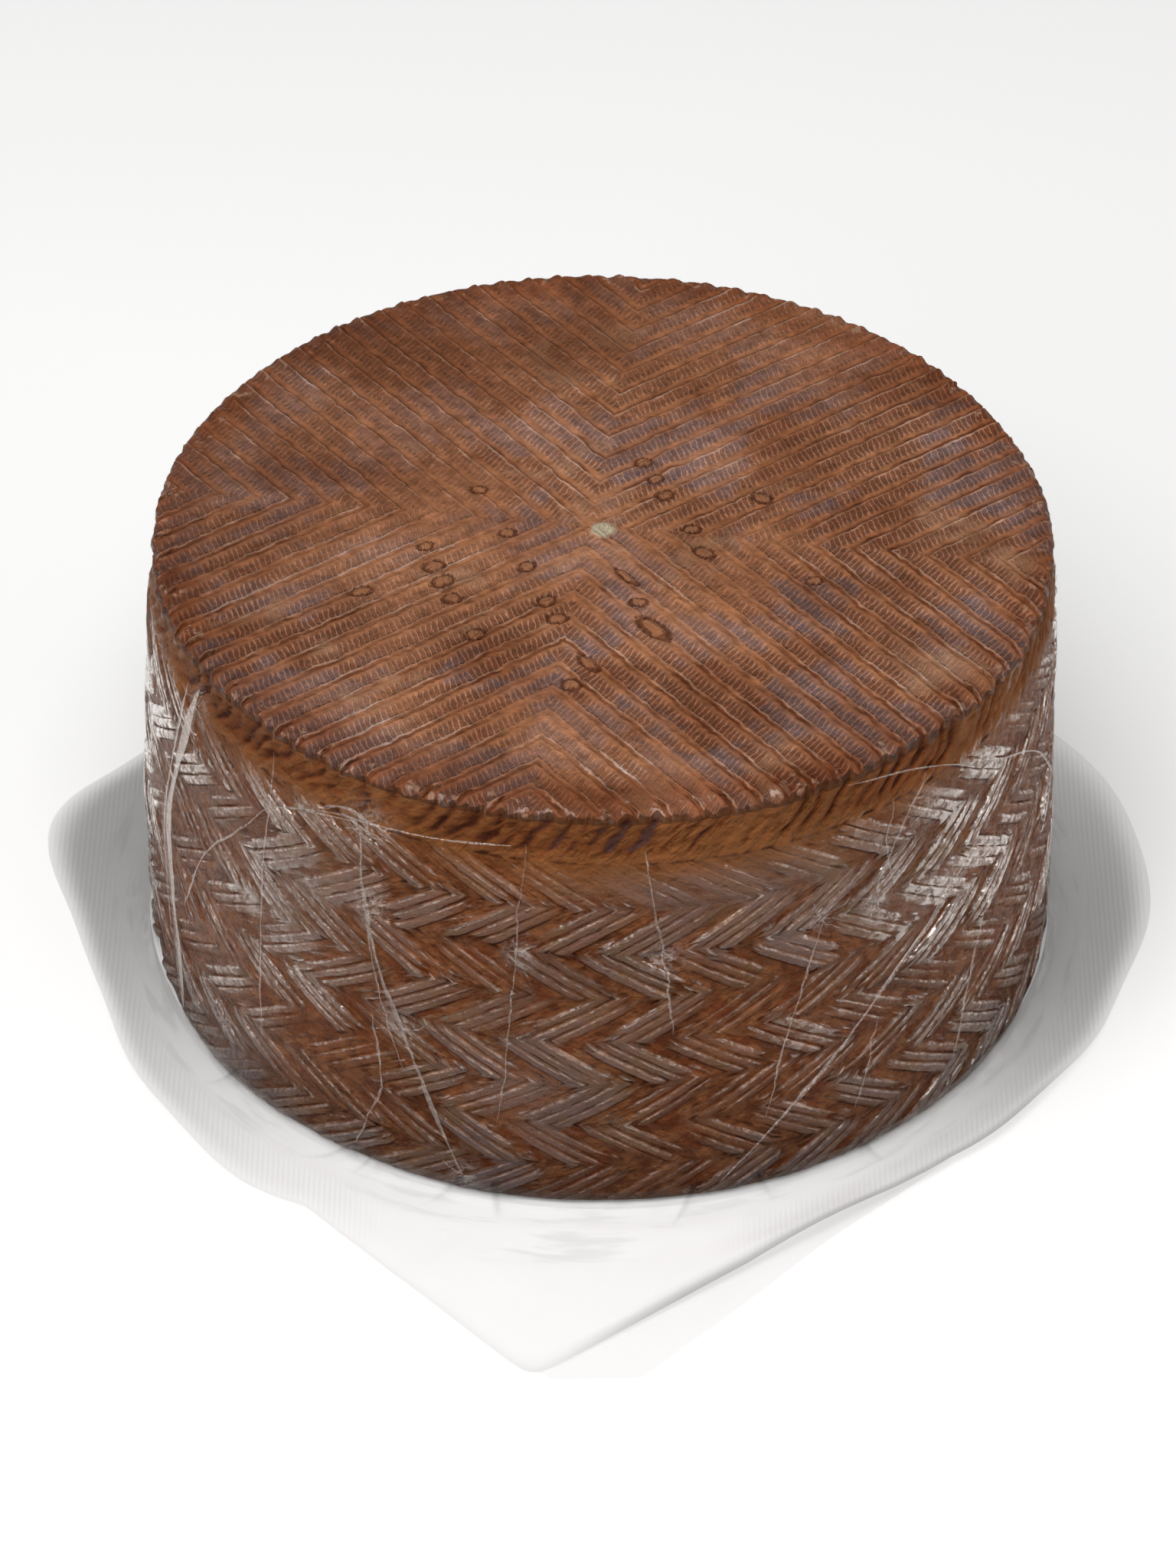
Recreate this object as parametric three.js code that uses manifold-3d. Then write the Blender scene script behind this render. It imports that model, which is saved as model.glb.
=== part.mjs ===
// A pressed wheel of hard cheese, its rind printed by a plaited mould, in a clear vacuum bag.
//
// Frame: millimetres, +Z up. The origin is on the wheel's axis at its flat underside, and the
// front is -Y. Two closed solids, which touch nothing but the ground they share:
//
//   cheese_wheel  the wheel, with the plait's strands and blocks pressed into its side, a strip
//                 of slanting dents under its rim, and chevron ribs across its top
//   vacuum_bag    the bag's free margin, a thin wavy skirt sealed round the wheel's foot
//
// The film over the wheel itself is a tenth of a millimetre thick and lies on the rind, so it
// has no solid of its own.

import * as THREE from 'three';
import { mergeVertices } from 'three/addons/utils/BufferGeometryUtils.js';
import Module from 'manifold-3d';

const wasm = await Module();
wasm.setup();

const TURN = 2 * Math.PI;

// ---------------------------------------------------------------- driving dimensions

const WHEEL = {
  height: 102.5,
  bellyRadius: 98.2, // the widest level
  bellyHeight: 19, // how high that level is
  taper: 3.4, // how much narrower the wheel is at its top
  rimRound: 2.8, // rounding of the top edge
  footRound: 2.7, // rounding of the bottom edge
};

const PLAIT = {
  top: 90.3, // the plaited rows end here, and the edge strip starts
  rows: 8,
  strandsAround: 108, // in each row
  strandsPerBlock: 3, // strands that lie side by side as one block of the plait
  strandDepth: 0.85, // from a strand's crest down to the groove beside it
  endDepth: 0.8, // how far a strand dips where it tucks under the next row
  blockDepth: 0.75, // extra depth of the groove between two blocks
  shingle: 0.3, // how much each strand of a block lies lower than the one before it
  oddRowShift: 2, // columns that the blocks of every second row are shifted by
  jitter: 0.14, // unevenness of the pressed rind
};

const EDGE = {
  dentDepth: 0.8, // the slanting dents between the plait and the rim
  lean: 2, // columns that a dent moves round in half its height
};

const RIBS = {
  pitch: 5.6, // across the ribs
  crestHeight: 0.8, // from the groove beside it up to a rib's sharp crest
  bandHeight: 0.35, // height of the hollow band over the groove
  railHeight: 0.6, // height of the rail over the groove
  turn: THREE.MathUtils.degToRad(-7.36), // the pattern's turn about the axis
  centre: new THREE.Vector2(-2.7, 1.6), // where its four quarters meet
  calmRadius: 16, // inside this the ribs are pressed nearly flat
};

const BAG = {
  clearance: 0.35, // between the wheel and the margin
  thickness: 1, // two welded films and the creases between them
  filletHeight: 4.5, // where the film comes down the wheel's foot
  filletReach: 6,
  segments: 108,
  radius: 111, // the margin's edge where nothing pulls it out
};

// What the margin's edge adds to BAG.radius: corners and bulges, each at an angle from +X, with
// a height and a half-width. A sharpness of 2 is a soft bell, and more makes a blunter corner.
const BAG_BULGES = [
  { at: -89, height: 35, width: 17, sharpness: 2.6 }, // the front corner
  { at: 90, height: 35, width: 17, sharpness: 2.6 }, // the back corner
  { at: -120, height: 12, width: 22, sharpness: 2 },
  { at: 169, height: 11.5, width: 20, sharpness: 2 },
  { at: 10, height: 10.5, width: 34, sharpness: 2 },
];

// Where the margin's edge lifts off the ground.
const BAG_LIFTS = [
  { at: -72, height: 3.2, width: 11, sharpness: 2 },
  { at: -150, height: 2.2, width: 16, sharpness: 2 },
  { at: 24, height: 2.6, width: 14, sharpness: 2 },
  { at: 118, height: 2.4, width: 18, sharpness: 2 },
];

const RIND_COLOUR = 0x7a5340;
const FILM_COLOUR = 0xdfe3e4;

// ---------------------------------------------------------------- helpers

// The same draws every time, for the rind's unevenness.
function seededDraw(seed) {
  let state = seed;
  return () => {
    state = (state * 1664525 + 1013904223) % 4294967296;
    return state / 4294967296;
  };
}

const draw = seededDraw(7);

function atAngle(angle, radius, z) {
  return new THREE.Vector3(radius * Math.cos(angle), radius * Math.sin(angle), z);
}

// Triangles of the strip between two closed lines of points. Point i of the lower line joins
// point i + lean of the upper one, so a lean makes the strip's edges slant.
function stripTriangles(lower, upper, count, lean) {
  const triangles = [];
  for (let i = 0; i < count; i++) {
    const next = (i + 1) % count;
    const above = (i + lean + count) % count;
    const aboveNext = (above + 1) % count;
    triangles.push(lower + i, lower + next, upper + aboveNext);
    triangles.push(lower + i, upper + aboveNext, upper + above);
  }
  return triangles;
}

function geometryOf(points, triangles) {
  const geometry = new THREE.BufferGeometry().setFromPoints(points);
  geometry.setIndex(triangles);
  return geometry;
}

function manifoldOf(geometry) {
  const merged = mergeVertices(geometry, 1e-4);
  return new wasm.Manifold(new wasm.Mesh({
    numProp: 3,
    vertProperties: new Float32Array(merged.attributes.position.array),
    triVerts: new Uint32Array(merged.index.array),
  }));
}

function geometryOfManifold(solid) {
  const mesh = solid.getMesh();
  const geometry = new THREE.BufferGeometry();
  geometry.setAttribute('position', new THREE.BufferAttribute(mesh.vertProperties, 3));
  geometry.setIndex(new THREE.BufferAttribute(mesh.triVerts, 1));
  geometry.computeVertexNormals();
  return geometry;
}

// The sum of the bells of a list at an angle in degrees.
function bells(list, degrees) {
  let sum = 0;
  for (const { at, height, width, sharpness } of list) {
    const away = Math.abs(THREE.MathUtils.euclideanModulo(degrees - at + 180, 360) - 180);
    sum += height * Math.exp(-((away / width) ** sharpness));
  }
  return sum;
}

// ---------------------------------------------------------------- the wheel's side

// Columns alternate between a strand's crest and the groove beside it.
const COLUMNS = 2 * PLAIT.strandsAround;
const HALF_ROW_LEAN = PLAIT.strandsPerBlock; // columns that a strand moves round in half a row

// Radius of the strands' crests at a height.
function sideRadius(z) {
  const rise = Math.max(0, (z - WHEEL.bellyHeight) / (WHEEL.height - WHEEL.bellyHeight));
  return WHEEL.bellyRadius - WHEEL.taper * rise * rise;
}

// How deep a point of the plait lies under the crests. The column is counted along the strands,
// so that it names the same strand all the way up a row.
function plaitDepth(column, atRowEdge, firstBlockColumn) {
  const groove = column % 2 === 1;
  const inBlock = (column + firstBlockColumn) % (2 * PLAIT.strandsPerBlock);
  let depth = Math.floor(inBlock / 2) * PLAIT.shingle;
  if (groove) depth += PLAIT.strandDepth;
  if (groove && inBlock === 2 * PLAIT.strandsPerBlock - 1) depth += PLAIT.blockDepth;
  if (atRowEdge) depth += groove ? PLAIT.endDepth / 2 : PLAIT.endDepth;
  return depth + PLAIT.jitter * draw();
}

// One closed line of points round the wheel, at a height, with a depth for each column.
function ringLine(z, radius, depthAt) {
  const line = [];
  for (let column = 0; column < COLUMNS; column++) {
    line.push(atAngle((column / COLUMNS) * TURN, radius - depthAt(column), z));
  }
  return line;
}

const wrapColumn = (column) => THREE.MathUtils.euclideanModulo(column, COLUMNS);

// The lines of the side from the ground up, and how far the strip under each one leans.
function sideLines() {
  const rowHeight = PLAIT.top / PLAIT.rows;
  const footZ = WHEEL.footRound;
  const lines = [
    { points: ringLine(0, sideRadius(0) - WHEEL.footRound, () => 0), lean: 0 },
    { points: ringLine(footZ, sideRadius(footZ), (column) => plaitDepth(column, true, 0)), lean: 0 },
  ];
  for (let row = 0; row < PLAIT.rows; row++) {
    const slant = row % 2 === 0 ? 1 : -1; // the rows lean to the right and left in turn
    const firstBlockColumn = row % 2 === 0 ? 0 : PLAIT.oddRowShift;
    const bottom = row === 0 ? footZ : row * rowHeight;
    const top = (row + 1) * rowHeight;
    const middle = (bottom + top) / 2;
    const lean = slant * HALF_ROW_LEAN;
    const along = (steps) => (column) => wrapColumn(column - steps * lean);
    lines.push({
      points: ringLine(middle, sideRadius(middle),
        (column) => plaitDepth(along(1)(column), false, firstBlockColumn)),
      lean,
    });
    lines.push({
      points: ringLine(top, sideRadius(top),
        (column) => plaitDepth(along(2)(column), true, firstBlockColumn)),
      lean,
    });
  }
  return lines;
}

// The edge strip's slanting dents, then the rounded rim, which runs on up past the ribs and is
// cut off by them.
function rimLines() {
  const { height, rimRound } = WHEEL;
  const roundStart = height - rimRound;
  const dentZ = (PLAIT.top + roundStart) / 2;
  const dent = (share) => (column) => (column % 2) * EDGE.dentDepth * share + PLAIT.jitter * draw();
  const lines = [
    { points: ringLine(dentZ, sideRadius(dentZ), dent(1)), lean: EDGE.lean },
    { points: ringLine(roundStart, sideRadius(roundStart), dent(0.5)), lean: EDGE.lean },
  ];
  lines.push({ points: ringLine(height, sideRadius(height) - rimRound, () => 0), lean: 0 });
  return lines;
}

// The flat underside: a large triangle round the axis, joined to the lowest line of the side.
function undersideTriangles(firstLine, corners) {
  const third = COLUMNS / corners.length;
  const triangles = [corners[0], corners[2], corners[1]];
  corners.forEach((corner, index) => {
    const start = Math.round((index - 0.5) * third);
    for (let step = 0; step < third; step++) {
      const column = wrapColumn(start + step);
      triangles.push(corner, firstLine + wrapColumn(column + 1), firstLine + column);
    }
    const nextCorner = corners[(index + 1) % corners.length];
    triangles.push(corner, nextCorner, firstLine + wrapColumn(start + third));
  });
  return triangles;
}

// The whole body of the wheel up to a blunt cone above its ribs.
function wheelBody() {
  const lines = [...sideLines(), ...rimLines()];
  const points = lines.flatMap((line) => line.points);
  const triangles = [];
  for (let index = 1; index < lines.length; index++) {
    const lower = (index - 1) * COLUMNS;
    triangles.push(...stripTriangles(lower, lower + COLUMNS, COLUMNS, lines[index].lean));
  }
  const topLine = (lines.length - 1) * COLUMNS;
  const apex = points.push(new THREE.Vector3(0, 0, WHEEL.height + 6)) - 1;
  for (let column = 0; column < COLUMNS; column++) {
    triangles.push(topLine + column, topLine + wrapColumn(column + 1), apex);
  }
  const innerRadius = 0.6 * sideRadius(0);
  const corners = [0, 1, 2].map((index) => points.push(atAngle((index / 3) * TURN, innerRadius, 0)) - 1);
  triangles.push(...undersideTriangles(0, corners));
  return manifoldOf(geometryOf(points, triangles));
}

// ---------------------------------------------------------------- the wheel's top

// The ribs are straight and run outwards, parallel to the diagonal of their quarter, so across
// them |x| - |y| changes and along them |x| + |y| does. One pitch holds a narrow groove, a sharp
// crest, a hollow band and a rail.
const RIB_PROFILE = [
  { at: 0, height: 0 },
  { at: 0.14, height: RIBS.crestHeight },
  { at: 0.45, height: RIBS.bandHeight },
  { at: 0.8, height: RIBS.railHeight },
];

// The lines of one quarter: their place across the ribs, and their height over the grooves.
function ribLines() {
  const across = RIBS.pitch * Math.SQRT2;
  const halfCount = Math.ceil((WHEEL.bellyRadius + 8) * Math.SQRT2 / across);
  const lines = [];
  for (let rib = -halfCount; rib < halfCount; rib++) {
    for (const { at, height } of RIB_PROFILE) {
      lines.push({ across: (rib + at) * across, height });
    }
  }
  lines.push({ across: halfCount * across, height: 0 });
  return { lines, reach: halfCount * across };
}

// A slab whose upper face carries the ribs, wide enough to cover the wheel.
function ribbedSlab() {
  const { lines, reach } = ribLines();
  const grooveZ = WHEEL.height - RIBS.crestHeight;
  const points = [];
  const triangles = [];
  const face = (...corners) => {
    const first = points.length;
    points.push(...corners);
    for (let i = 2; i < corners.length; i++) triangles.push(first, first + i - 1, first + i);
  };
  for (const [signX, signY] of [[1, 1], [-1, 1], [-1, -1], [1, -1]]) {
    const mirrored = signX * signY < 0;
    const place = ({ across, height }, along) => {
      const x = signX * (along + across) / 2;
      const y = signY * (along - across) / 2;
      const calm = Math.min(1, 0.35 + Math.hypot(x, y) / RIBS.calmRadius);
      return new THREE.Vector3(x, y, grooveZ + height * calm);
    };
    const facing = (...corners) => face(...(mirrored ? corners.reverse() : corners));
    for (let index = 1; index < lines.length; index++) {
      const one = lines[index - 1];
      const two = lines[index];
      const corners = [
        place(one, Math.abs(one.across)),
        place(one, reach),
        place(two, reach),
        place(two, Math.abs(two.across)),
      ];
      facing(...corners.reverse());
      const [, outerTwo, outerOne] = corners;
      const under = (point) => new THREE.Vector3(point.x, point.y, -1);
      facing(outerOne, outerTwo, under(outerTwo), under(outerOne));
      facing(under(outerOne), under(outerTwo), new THREE.Vector3(0, 0, -1));
    }
  }
  return geometryOf(points, triangles)
    .rotateZ(RIBS.turn)
    .translate(RIBS.centre.x, RIBS.centre.y, 0);
}

function cheeseWheel() {
  const solid = wheelBody().intersect(manifoldOf(ribbedSlab()));
  const rind = new THREE.MeshStandardMaterial({ color: RIND_COLOUR, roughness: 0.5, metalness: 0 });
  rind.flatShading = true;
  const mesh = new THREE.Mesh(geometryOfManifold(solid), rind);
  mesh.name = 'cheese_wheel';
  return mesh;
}

// ---------------------------------------------------------------- the bag's margin

// Radius of the margin's edge at an angle in degrees, with small waves along it.
function marginRadius(degrees) {
  const angle = THREE.MathUtils.degToRad(degrees);
  const waves = 0.7 * Math.sin(9 * angle + 0.6) + 0.5 * Math.sin(17 * angle + 2.1);
  return BAG.radius + bells(BAG_BULGES, degrees) + waves;
}

// How far the margin's edge stands off the ground at an angle in degrees.
function marginLift(degrees) {
  const angle = THREE.MathUtils.degToRad(degrees);
  const ripple = 0.5 * Math.sin(7 * angle) + 0.4 * Math.sin(13 * angle + 1);
  return Math.max(0, ripple) + bells(BAG_LIFTS, degrees);
}

// A section of the margin: lower points outwards, then upper points back in.
function marginSection(degrees) {
  const angle = THREE.MathUtils.degToRad(degrees);
  const inner = WHEEL.bellyRadius + BAG.clearance;
  const bend = inner + BAG.filletReach;
  const edge = marginRadius(degrees);
  const lift = marginLift(degrees);
  return [
    atAngle(angle, inner, 0),
    atAngle(angle, bend, 0),
    atAngle(angle, edge, lift),
    atAngle(angle, edge, lift + BAG.thickness),
    atAngle(angle, bend, 1.6 * BAG.thickness),
    atAngle(angle, inner, BAG.filletHeight),
  ];
}

function vacuumBag() {
  const sections = [];
  for (let index = 0; index < BAG.segments; index++) {
    sections.push(marginSection((360 * index) / BAG.segments));
  }
  const corners = sections[0].length;
  const points = [];
  const triangles = [];
  for (let corner = 0; corner < corners; corner++) {
    for (const section of sections) points.push(section[corner]);
  }
  for (let corner = 0; corner < corners; corner++) {
    const outer = corner * BAG.segments;
    const following = ((corner + 1) % corners) * BAG.segments;
    triangles.push(...stripTriangles(outer, following, BAG.segments, 0));
  }
  const film = new THREE.MeshStandardMaterial({ color: FILM_COLOUR, roughness: 0.2, metalness: 0 });
  film.transparent = true;
  film.opacity = 0.4;
  film.flatShading = true;
  const geometry = geometryOf(points, triangles);
  geometry.computeVertexNormals();
  const mesh = new THREE.Mesh(geometry, film);
  mesh.name = 'vacuum_bag';
  return mesh;
}

const group = new THREE.Group();
group.add(cheeseWheel(), vacuumBag());

export default group;
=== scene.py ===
# %% [markdown]
# # A pressed cheese wheel in its clear vacuum bag
#
# The frame holds two solids: the wheel with its plaited side and ribbed top, and the bag's free
# margin. Here both get their fine surface. The wheel is rebuilt with denser relief inside the same
# outline, the film is laid over it as a thin skin with its folds, and the margin becomes two welded
# films that wave over the table.

# %% Load the frame
import math

import bpy
import numpy as np
from mathutils import Matrix, Vector


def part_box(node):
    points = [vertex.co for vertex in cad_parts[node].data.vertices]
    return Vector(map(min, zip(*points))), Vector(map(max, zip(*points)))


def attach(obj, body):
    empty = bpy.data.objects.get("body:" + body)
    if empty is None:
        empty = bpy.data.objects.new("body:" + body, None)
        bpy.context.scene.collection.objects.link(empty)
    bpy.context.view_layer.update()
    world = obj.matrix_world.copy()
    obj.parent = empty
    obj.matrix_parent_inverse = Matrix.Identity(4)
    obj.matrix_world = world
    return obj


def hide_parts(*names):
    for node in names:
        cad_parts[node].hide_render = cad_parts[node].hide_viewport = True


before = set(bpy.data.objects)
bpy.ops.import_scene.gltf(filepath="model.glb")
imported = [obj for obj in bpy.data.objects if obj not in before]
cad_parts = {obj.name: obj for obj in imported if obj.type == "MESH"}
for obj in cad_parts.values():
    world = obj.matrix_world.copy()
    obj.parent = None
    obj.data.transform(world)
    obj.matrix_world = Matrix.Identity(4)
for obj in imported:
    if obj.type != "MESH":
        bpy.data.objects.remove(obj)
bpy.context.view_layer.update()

wheel_low, wheel_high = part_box("cheese_wheel")
bpy.ops.object.select_all(action="DESELECT")

MM = 0.001
TURN = 2 * math.pi
WHEEL_HEIGHT = wheel_high.z
print("wheel", round(WHEEL_HEIGHT / MM, 1), "mm high,", round(2 * wheel_high.x / MM, 1), "mm across")

# %% [markdown]
# ## Small helpers
#
# Numpy reads and writes all of a mesh's vertices at once, which is how a pressed relief is put on a
# surface that the modelling operators have already laid out. Every random draw comes from a seeded
# generator, so the wheel is the same each time.

# %% Helpers for meshes
draw = np.random.default_rng(20)


def points_of(obj):
    """The piece's vertices as rows of x, y, z."""
    points = np.empty(3 * len(obj.data.vertices))
    obj.data.vertices.foreach_get("co", points)
    return points.reshape(-1, 3)


def place_points(obj, points):
    obj.data.vertices.foreach_set("co", np.ascontiguousarray(points).ravel())
    obj.data.update()


def normals_of(obj):
    normals = np.empty(3 * len(obj.data.vertices))
    obj.data.vertex_normals.foreach_get("vector", normals)
    return normals.reshape(-1, 3)


def make_active(obj):
    bpy.ops.object.select_all(action="DESELECT")
    obj.select_set(True)
    bpy.context.view_layer.objects.active = obj


def turn_faces_out():
    """Turn all of the active piece's faces outwards."""
    bpy.ops.object.mode_set(mode="EDIT")
    bpy.ops.mesh.select_all(action="SELECT")
    bpy.ops.mesh.normals_make_consistent(inside=False)
    bpy.ops.object.mode_set(mode="OBJECT")


def triangle_count(obj):
    return sum(len(face.vertices) - 2 for face in obj.data.polygons)


def store_value(obj, name, values):
    obj.data.attributes.new(name, "FLOAT", "POINT").data.foreach_set("value", values)


def store_place(obj, name, places):
    layer = obj.data.attributes.new(name, "FLOAT_VECTOR", "POINT")
    layer.data.foreach_set("vector", np.ascontiguousarray(places).ravel())

# %% Helpers for uneven shapes
def smooth_step(low, high, value):
    share = np.clip((value - low) / (high - low), 0, 1)
    return share * share * (3 - 2 * share)


CROSSED_WAVES = 7
USUAL_PEAK = 3.2


def soft_noise(x, y, size, seed):
    """Smooth unevenness between about -1 and 1, as a few crossed waves of about that size."""
    waves = np.random.default_rng(seed)
    total = np.zeros_like(x)
    for _ in range(CROSSED_WAVES):
        heading = waves.uniform(0, TURN)
        length = size * waves.uniform(0.6, 1.7)
        start = waves.uniform(0, TURN)
        total += np.sin(TURN * (x * math.cos(heading) + y * math.sin(heading)) / length + start)
    return total / USUAL_PEAK


def degrees_from(angle, at):
    """Degrees from a heading to each angle in radians, between -180 and 180."""
    return np.mod(np.degrees(angle) - at + 180, 360) - 180


FRONT = -90


def spot(angle, z, at, height, wide, tall):
    """1 at a place on the side and less round it. At is in degrees to the right of the front."""
    away = degrees_from(angle, FRONT + at) / wide
    return np.exp(-away ** 2 - ((z / MM - height) / tall) ** 2)

# %% [markdown]
# ## The side of the wheel
#
# The mould is a band of plaited grass, so the side shows rows of slanting strands, each row leaning
# the other way. A row could be made by arraying one strand, but the strands are the cheese's own
# skin, not things stuck on it. So the side is one surface: a circle is extruded upwards ring by
# ring, and each new ring is turned a little with the strands of its row. The mesh's edges then run
# along the strands, and a relief pushed into it stays crisp.

# %% Sizes of the side
BELLY_RADIUS = 98.2 * MM
BELLY_HEIGHT = 19 * MM
TAPER = 3.4 * MM
RIM_ROUND = 2.8 * MM
FOOT_ROUND = 2.7 * MM
FILM_UNDER = 0.2 * MM

ROWS = 8
PLAIT_TOP = 90.3 * MM
ROW = PLAIT_TOP / ROWS
EDGE_TOP = WHEEL_HEIGHT - RIM_ROUND
BLOCKS = 36
BLOCK_ANGLE = TURN / BLOCKS
COLUMNS = 36 * BLOCKS
RINGS_PER_ROW = 9
EDGE_RINGS = 6
EDGE_LEAN = 0.53


def side_radius(z):
    """Radius of the strands' crests at a height."""
    rise = np.clip((z - BELLY_HEIGHT) / (WHEEL_HEIGHT - BELLY_HEIGHT), 0, None)
    return BELLY_RADIUS - TAPER * rise ** 2

# %% [markdown]
# The strands are only 2.4 mm wide and need edges that are sharp at a tenth of that, so the wheel is
# made as two drums, one on the other: a tall one for the plait and a low one for the rim and top.
# They share the ring between them, so their sides meet exactly.

# %% Extrude the two drums
def plait_steps():
    """The rise of each ring over the one below, and its turn about the axis."""
    foot = FOOT_ROUND - FILM_UNDER
    steps = [(share * foot, share * foot / ROW * BLOCK_ANGLE) for share in (0.3, 0.7)]
    for row in range(ROWS):
        slant = 1 if row % 2 == 0 else -1
        rise = (ROW - (FOOT_ROUND if row == 0 else 0)) / RINGS_PER_ROW
        steps += [(rise, slant * rise / ROW * BLOCK_ANGLE)] * RINGS_PER_ROW
    return steps


def extrude_ring(rise, turn):
    bpy.ops.mesh.extrude_region_move(TRANSFORM_OT_translate={"value": (0, 0, rise)})
    if turn:
        bpy.ops.transform.rotate(value=-turn, orient_axis="Z", center_override=(0, 0, 0))


def extrude_drum(name, bottom, turned, steps):
    bpy.ops.mesh.primitive_circle_add(
        vertices=COLUMNS, radius=BELLY_RADIUS, fill_type="NGON",
        location=(0, 0, bottom), rotation=(0, 0, turned))
    drum = bpy.context.object
    drum.name = name
    bpy.ops.object.transform_apply(location=True, rotation=True)
    bpy.ops.object.mode_set(mode="EDIT")
    bpy.ops.mesh.select_all(action="SELECT")
    for rise, turn in steps:
        extrude_ring(rise, turn)
    bpy.ops.object.mode_set(mode="OBJECT")
    turn_faces_out()
    print(name, "of", len(steps) + 1, "rings,", triangle_count(drum), "triangles")
    return drum


side = extrude_drum("cheese_side", FILM_UNDER, 0, plait_steps())
edge_step = ((EDGE_TOP - PLAIT_TOP) / EDGE_RINGS, EDGE_LEAN * BLOCK_ANGLE / EDGE_RINGS)
crown = extrude_drum("cheese_top", PLAIT_TOP, sum(turn for _, turn in plait_steps()),
                     [edge_step] * EDGE_RINGS + [(2 * RIM_ROUND, 0)])

# %% [markdown]
# ## The plait
#
# A row holds 36 blocks of three strands. Within a row the strands of a block lie side by side, each
# a little lower than the one before it, and their square ends step along the row. Between two
# blocks the mould left a wide hollow. The relief is a height over each point of the side: every
# strand of the point's own row and of the rows above and below gives a height there, and the
# highest one shows. A strand's crest lies near its upper edge, and from there its face falls away
# to the lower one, as on a row of roof tiles.

# %% Relief of the plait
STRANDS_PER_BLOCK = 3
STRAND_SHARE = 0.25
GROUND = 1.1 * MM
STAGGER = 0.34
CREST = -0.3
SLOPE = 0.25 * MM
STEP_BETWEEN = 0.56 * MM
SQUARE_END = 0.17
EVEN_PHASE, ODD_PHASE = 0.075, 0.4
strand_grid = (ROWS, BLOCKS, STRANDS_PER_BLOCK)
strand_sink = draw.uniform(0, 0.3 * MM, strand_grid)
strand_sink += draw.uniform(0, 0.45 * MM, strand_grid[:2])[:, :, None]
strand_shift = draw.normal(0, 0.12, strand_grid)
strand_length = draw.uniform(0.88, 1.08, strand_grid)
strand_tilt = draw.normal(0, 0.13 * MM, strand_grid)
strand_tint = draw.uniform(0, 1, strand_grid)


def plait_relief(angle, z):
    """Height of the plait at points of the side, from 0 on a crest down, and the strand's tint."""
    around = angle * BELLY_RADIUS
    ragged = 0.009 * soft_noise(around, z, 4 * MM, 41) + 0.022 * soft_noise(around, z, 40 * MM, 42)
    height = -GROUND + 0.25 * MM * soft_noise(around, z, 4 * MM, 43)
    height += 0.15 * MM * soft_noise(around, z, 2.2 * MM, 45)
    tint = np.full(z.shape, 0.5)
    for step in (-1, 0, 1):
        row = np.floor(z / ROW).astype(int) + step
        even = row % 2 == 0
        slant = np.where(even, 1.0, -1.0)
        along = (z - (row + 0.5) * ROW) / (ROW / 2)
        place = angle / BLOCK_ANGLE - slant * (along + 1) / 2 + np.where(even, EVEN_PHASE, ODD_PHASE)
        place += ragged
        block = np.floor(place).astype(int)
        within = (place - block) / STRAND_SHARE
        strand = np.minimum(np.floor(within).astype(int), STRANDS_PER_BLOCK - 1)
        across = 2 * (within - strand) - 1
        one = (np.clip(row, 0, ROWS - 1), block % BLOCKS, strand)
        reach = (along - slant * STAGGER * (1 - strand) + strand_shift[one]) / strand_length[one]
        down = slant * across
        body = -strand_sink[one] - 0.15 * MM * reach ** 2 + strand_tilt[one] * reach
        body -= SLOPE * (down - CREST) ** 2
        joined = ((across > 0) & (strand < STRANDS_PER_BLOCK - 1)) | ((across < 0) & (strand > 0))
        shoulder = smooth_step(1.0, np.where(down < 0, 0.84, 0.9), np.abs(across))
        body -= np.where(joined, STEP_BETWEEN, GROUND + body) * (1 - shoulder)
        end = np.abs(reach + SQUARE_END * slant * across)
        body = (GROUND + body) * smooth_step(1.03, 0.95, end) - GROUND
        shown = (row >= 0) & (row < ROWS) & (across <= 1) & (body > height)
        height = np.where(shown, body, height)
        tint = np.where(shown, strand_tint[one], tint)
    return height + 0.05 * MM * soft_noise(2.2 * around, z, 4 * MM, 44), tint

# %% [markdown]
# ## The strip under the rim
#
# Above the plait the mould's hem pressed a band of coarse dents, like claw marks that curve up to
# the rim. Each one deepens slowly on one side and stops sharply on the other.

# %% Relief of the strip and of the whole side
DENTS = 132
dent_strength = draw.uniform(0.25, 1.0, DENTS)


def strip_height(angle, z):
    up = (z - PLAIT_TOP) / (EDGE_TOP - PLAIT_TOP)
    place = angle / TURN * DENTS - 2.7 * up + 0.9 * up ** 2
    place += 0.35 * soft_noise(angle * BELLY_RADIUS, z, 12 * MM, 48)
    dent = np.floor(place).astype(int) % DENTS
    across = place - np.floor(place)
    saw = np.where(across < 0.75, (across / 0.75) ** 1.8, smooth_step(1, 0.75, across))
    recess = -0.3 * MM - 0.6 * MM * smooth_step(0, 0.4, up) * smooth_step(1.15, 0.8, up)
    lumps = 0.25 * MM * soft_noise(angle * BELLY_RADIUS, z, 4 * MM, 46)
    return recess + lumps - 1.05 * MM * saw * dent_strength[dent] * smooth_step(-0.05, 0.35, up)


# Smears: degrees from the front, height in mm, spread in degrees and mm, and strength.
SMEARS = ((18, 81, 17, 8, 0.42), (2, 87, 12, 5, 0.4), (-78, 60, 20, 14, 0.4), (104, 40, 24, 16, 0.5))
SMEARED_LEVEL = -0.45 * MM


def smeared(angle, z):
    """How far the skin was smeared flat, where the wheel was handled while soft."""
    total = sum(strength * spot(angle, z, *place) for *place, strength in SMEARS)
    patches = soft_noise(angle * BELLY_RADIUS, 1.6 * z, 60 * MM, 5)
    return np.clip(total + 0.25 * smooth_step(0.1, 0.9, patches), 0, 0.75)


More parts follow.
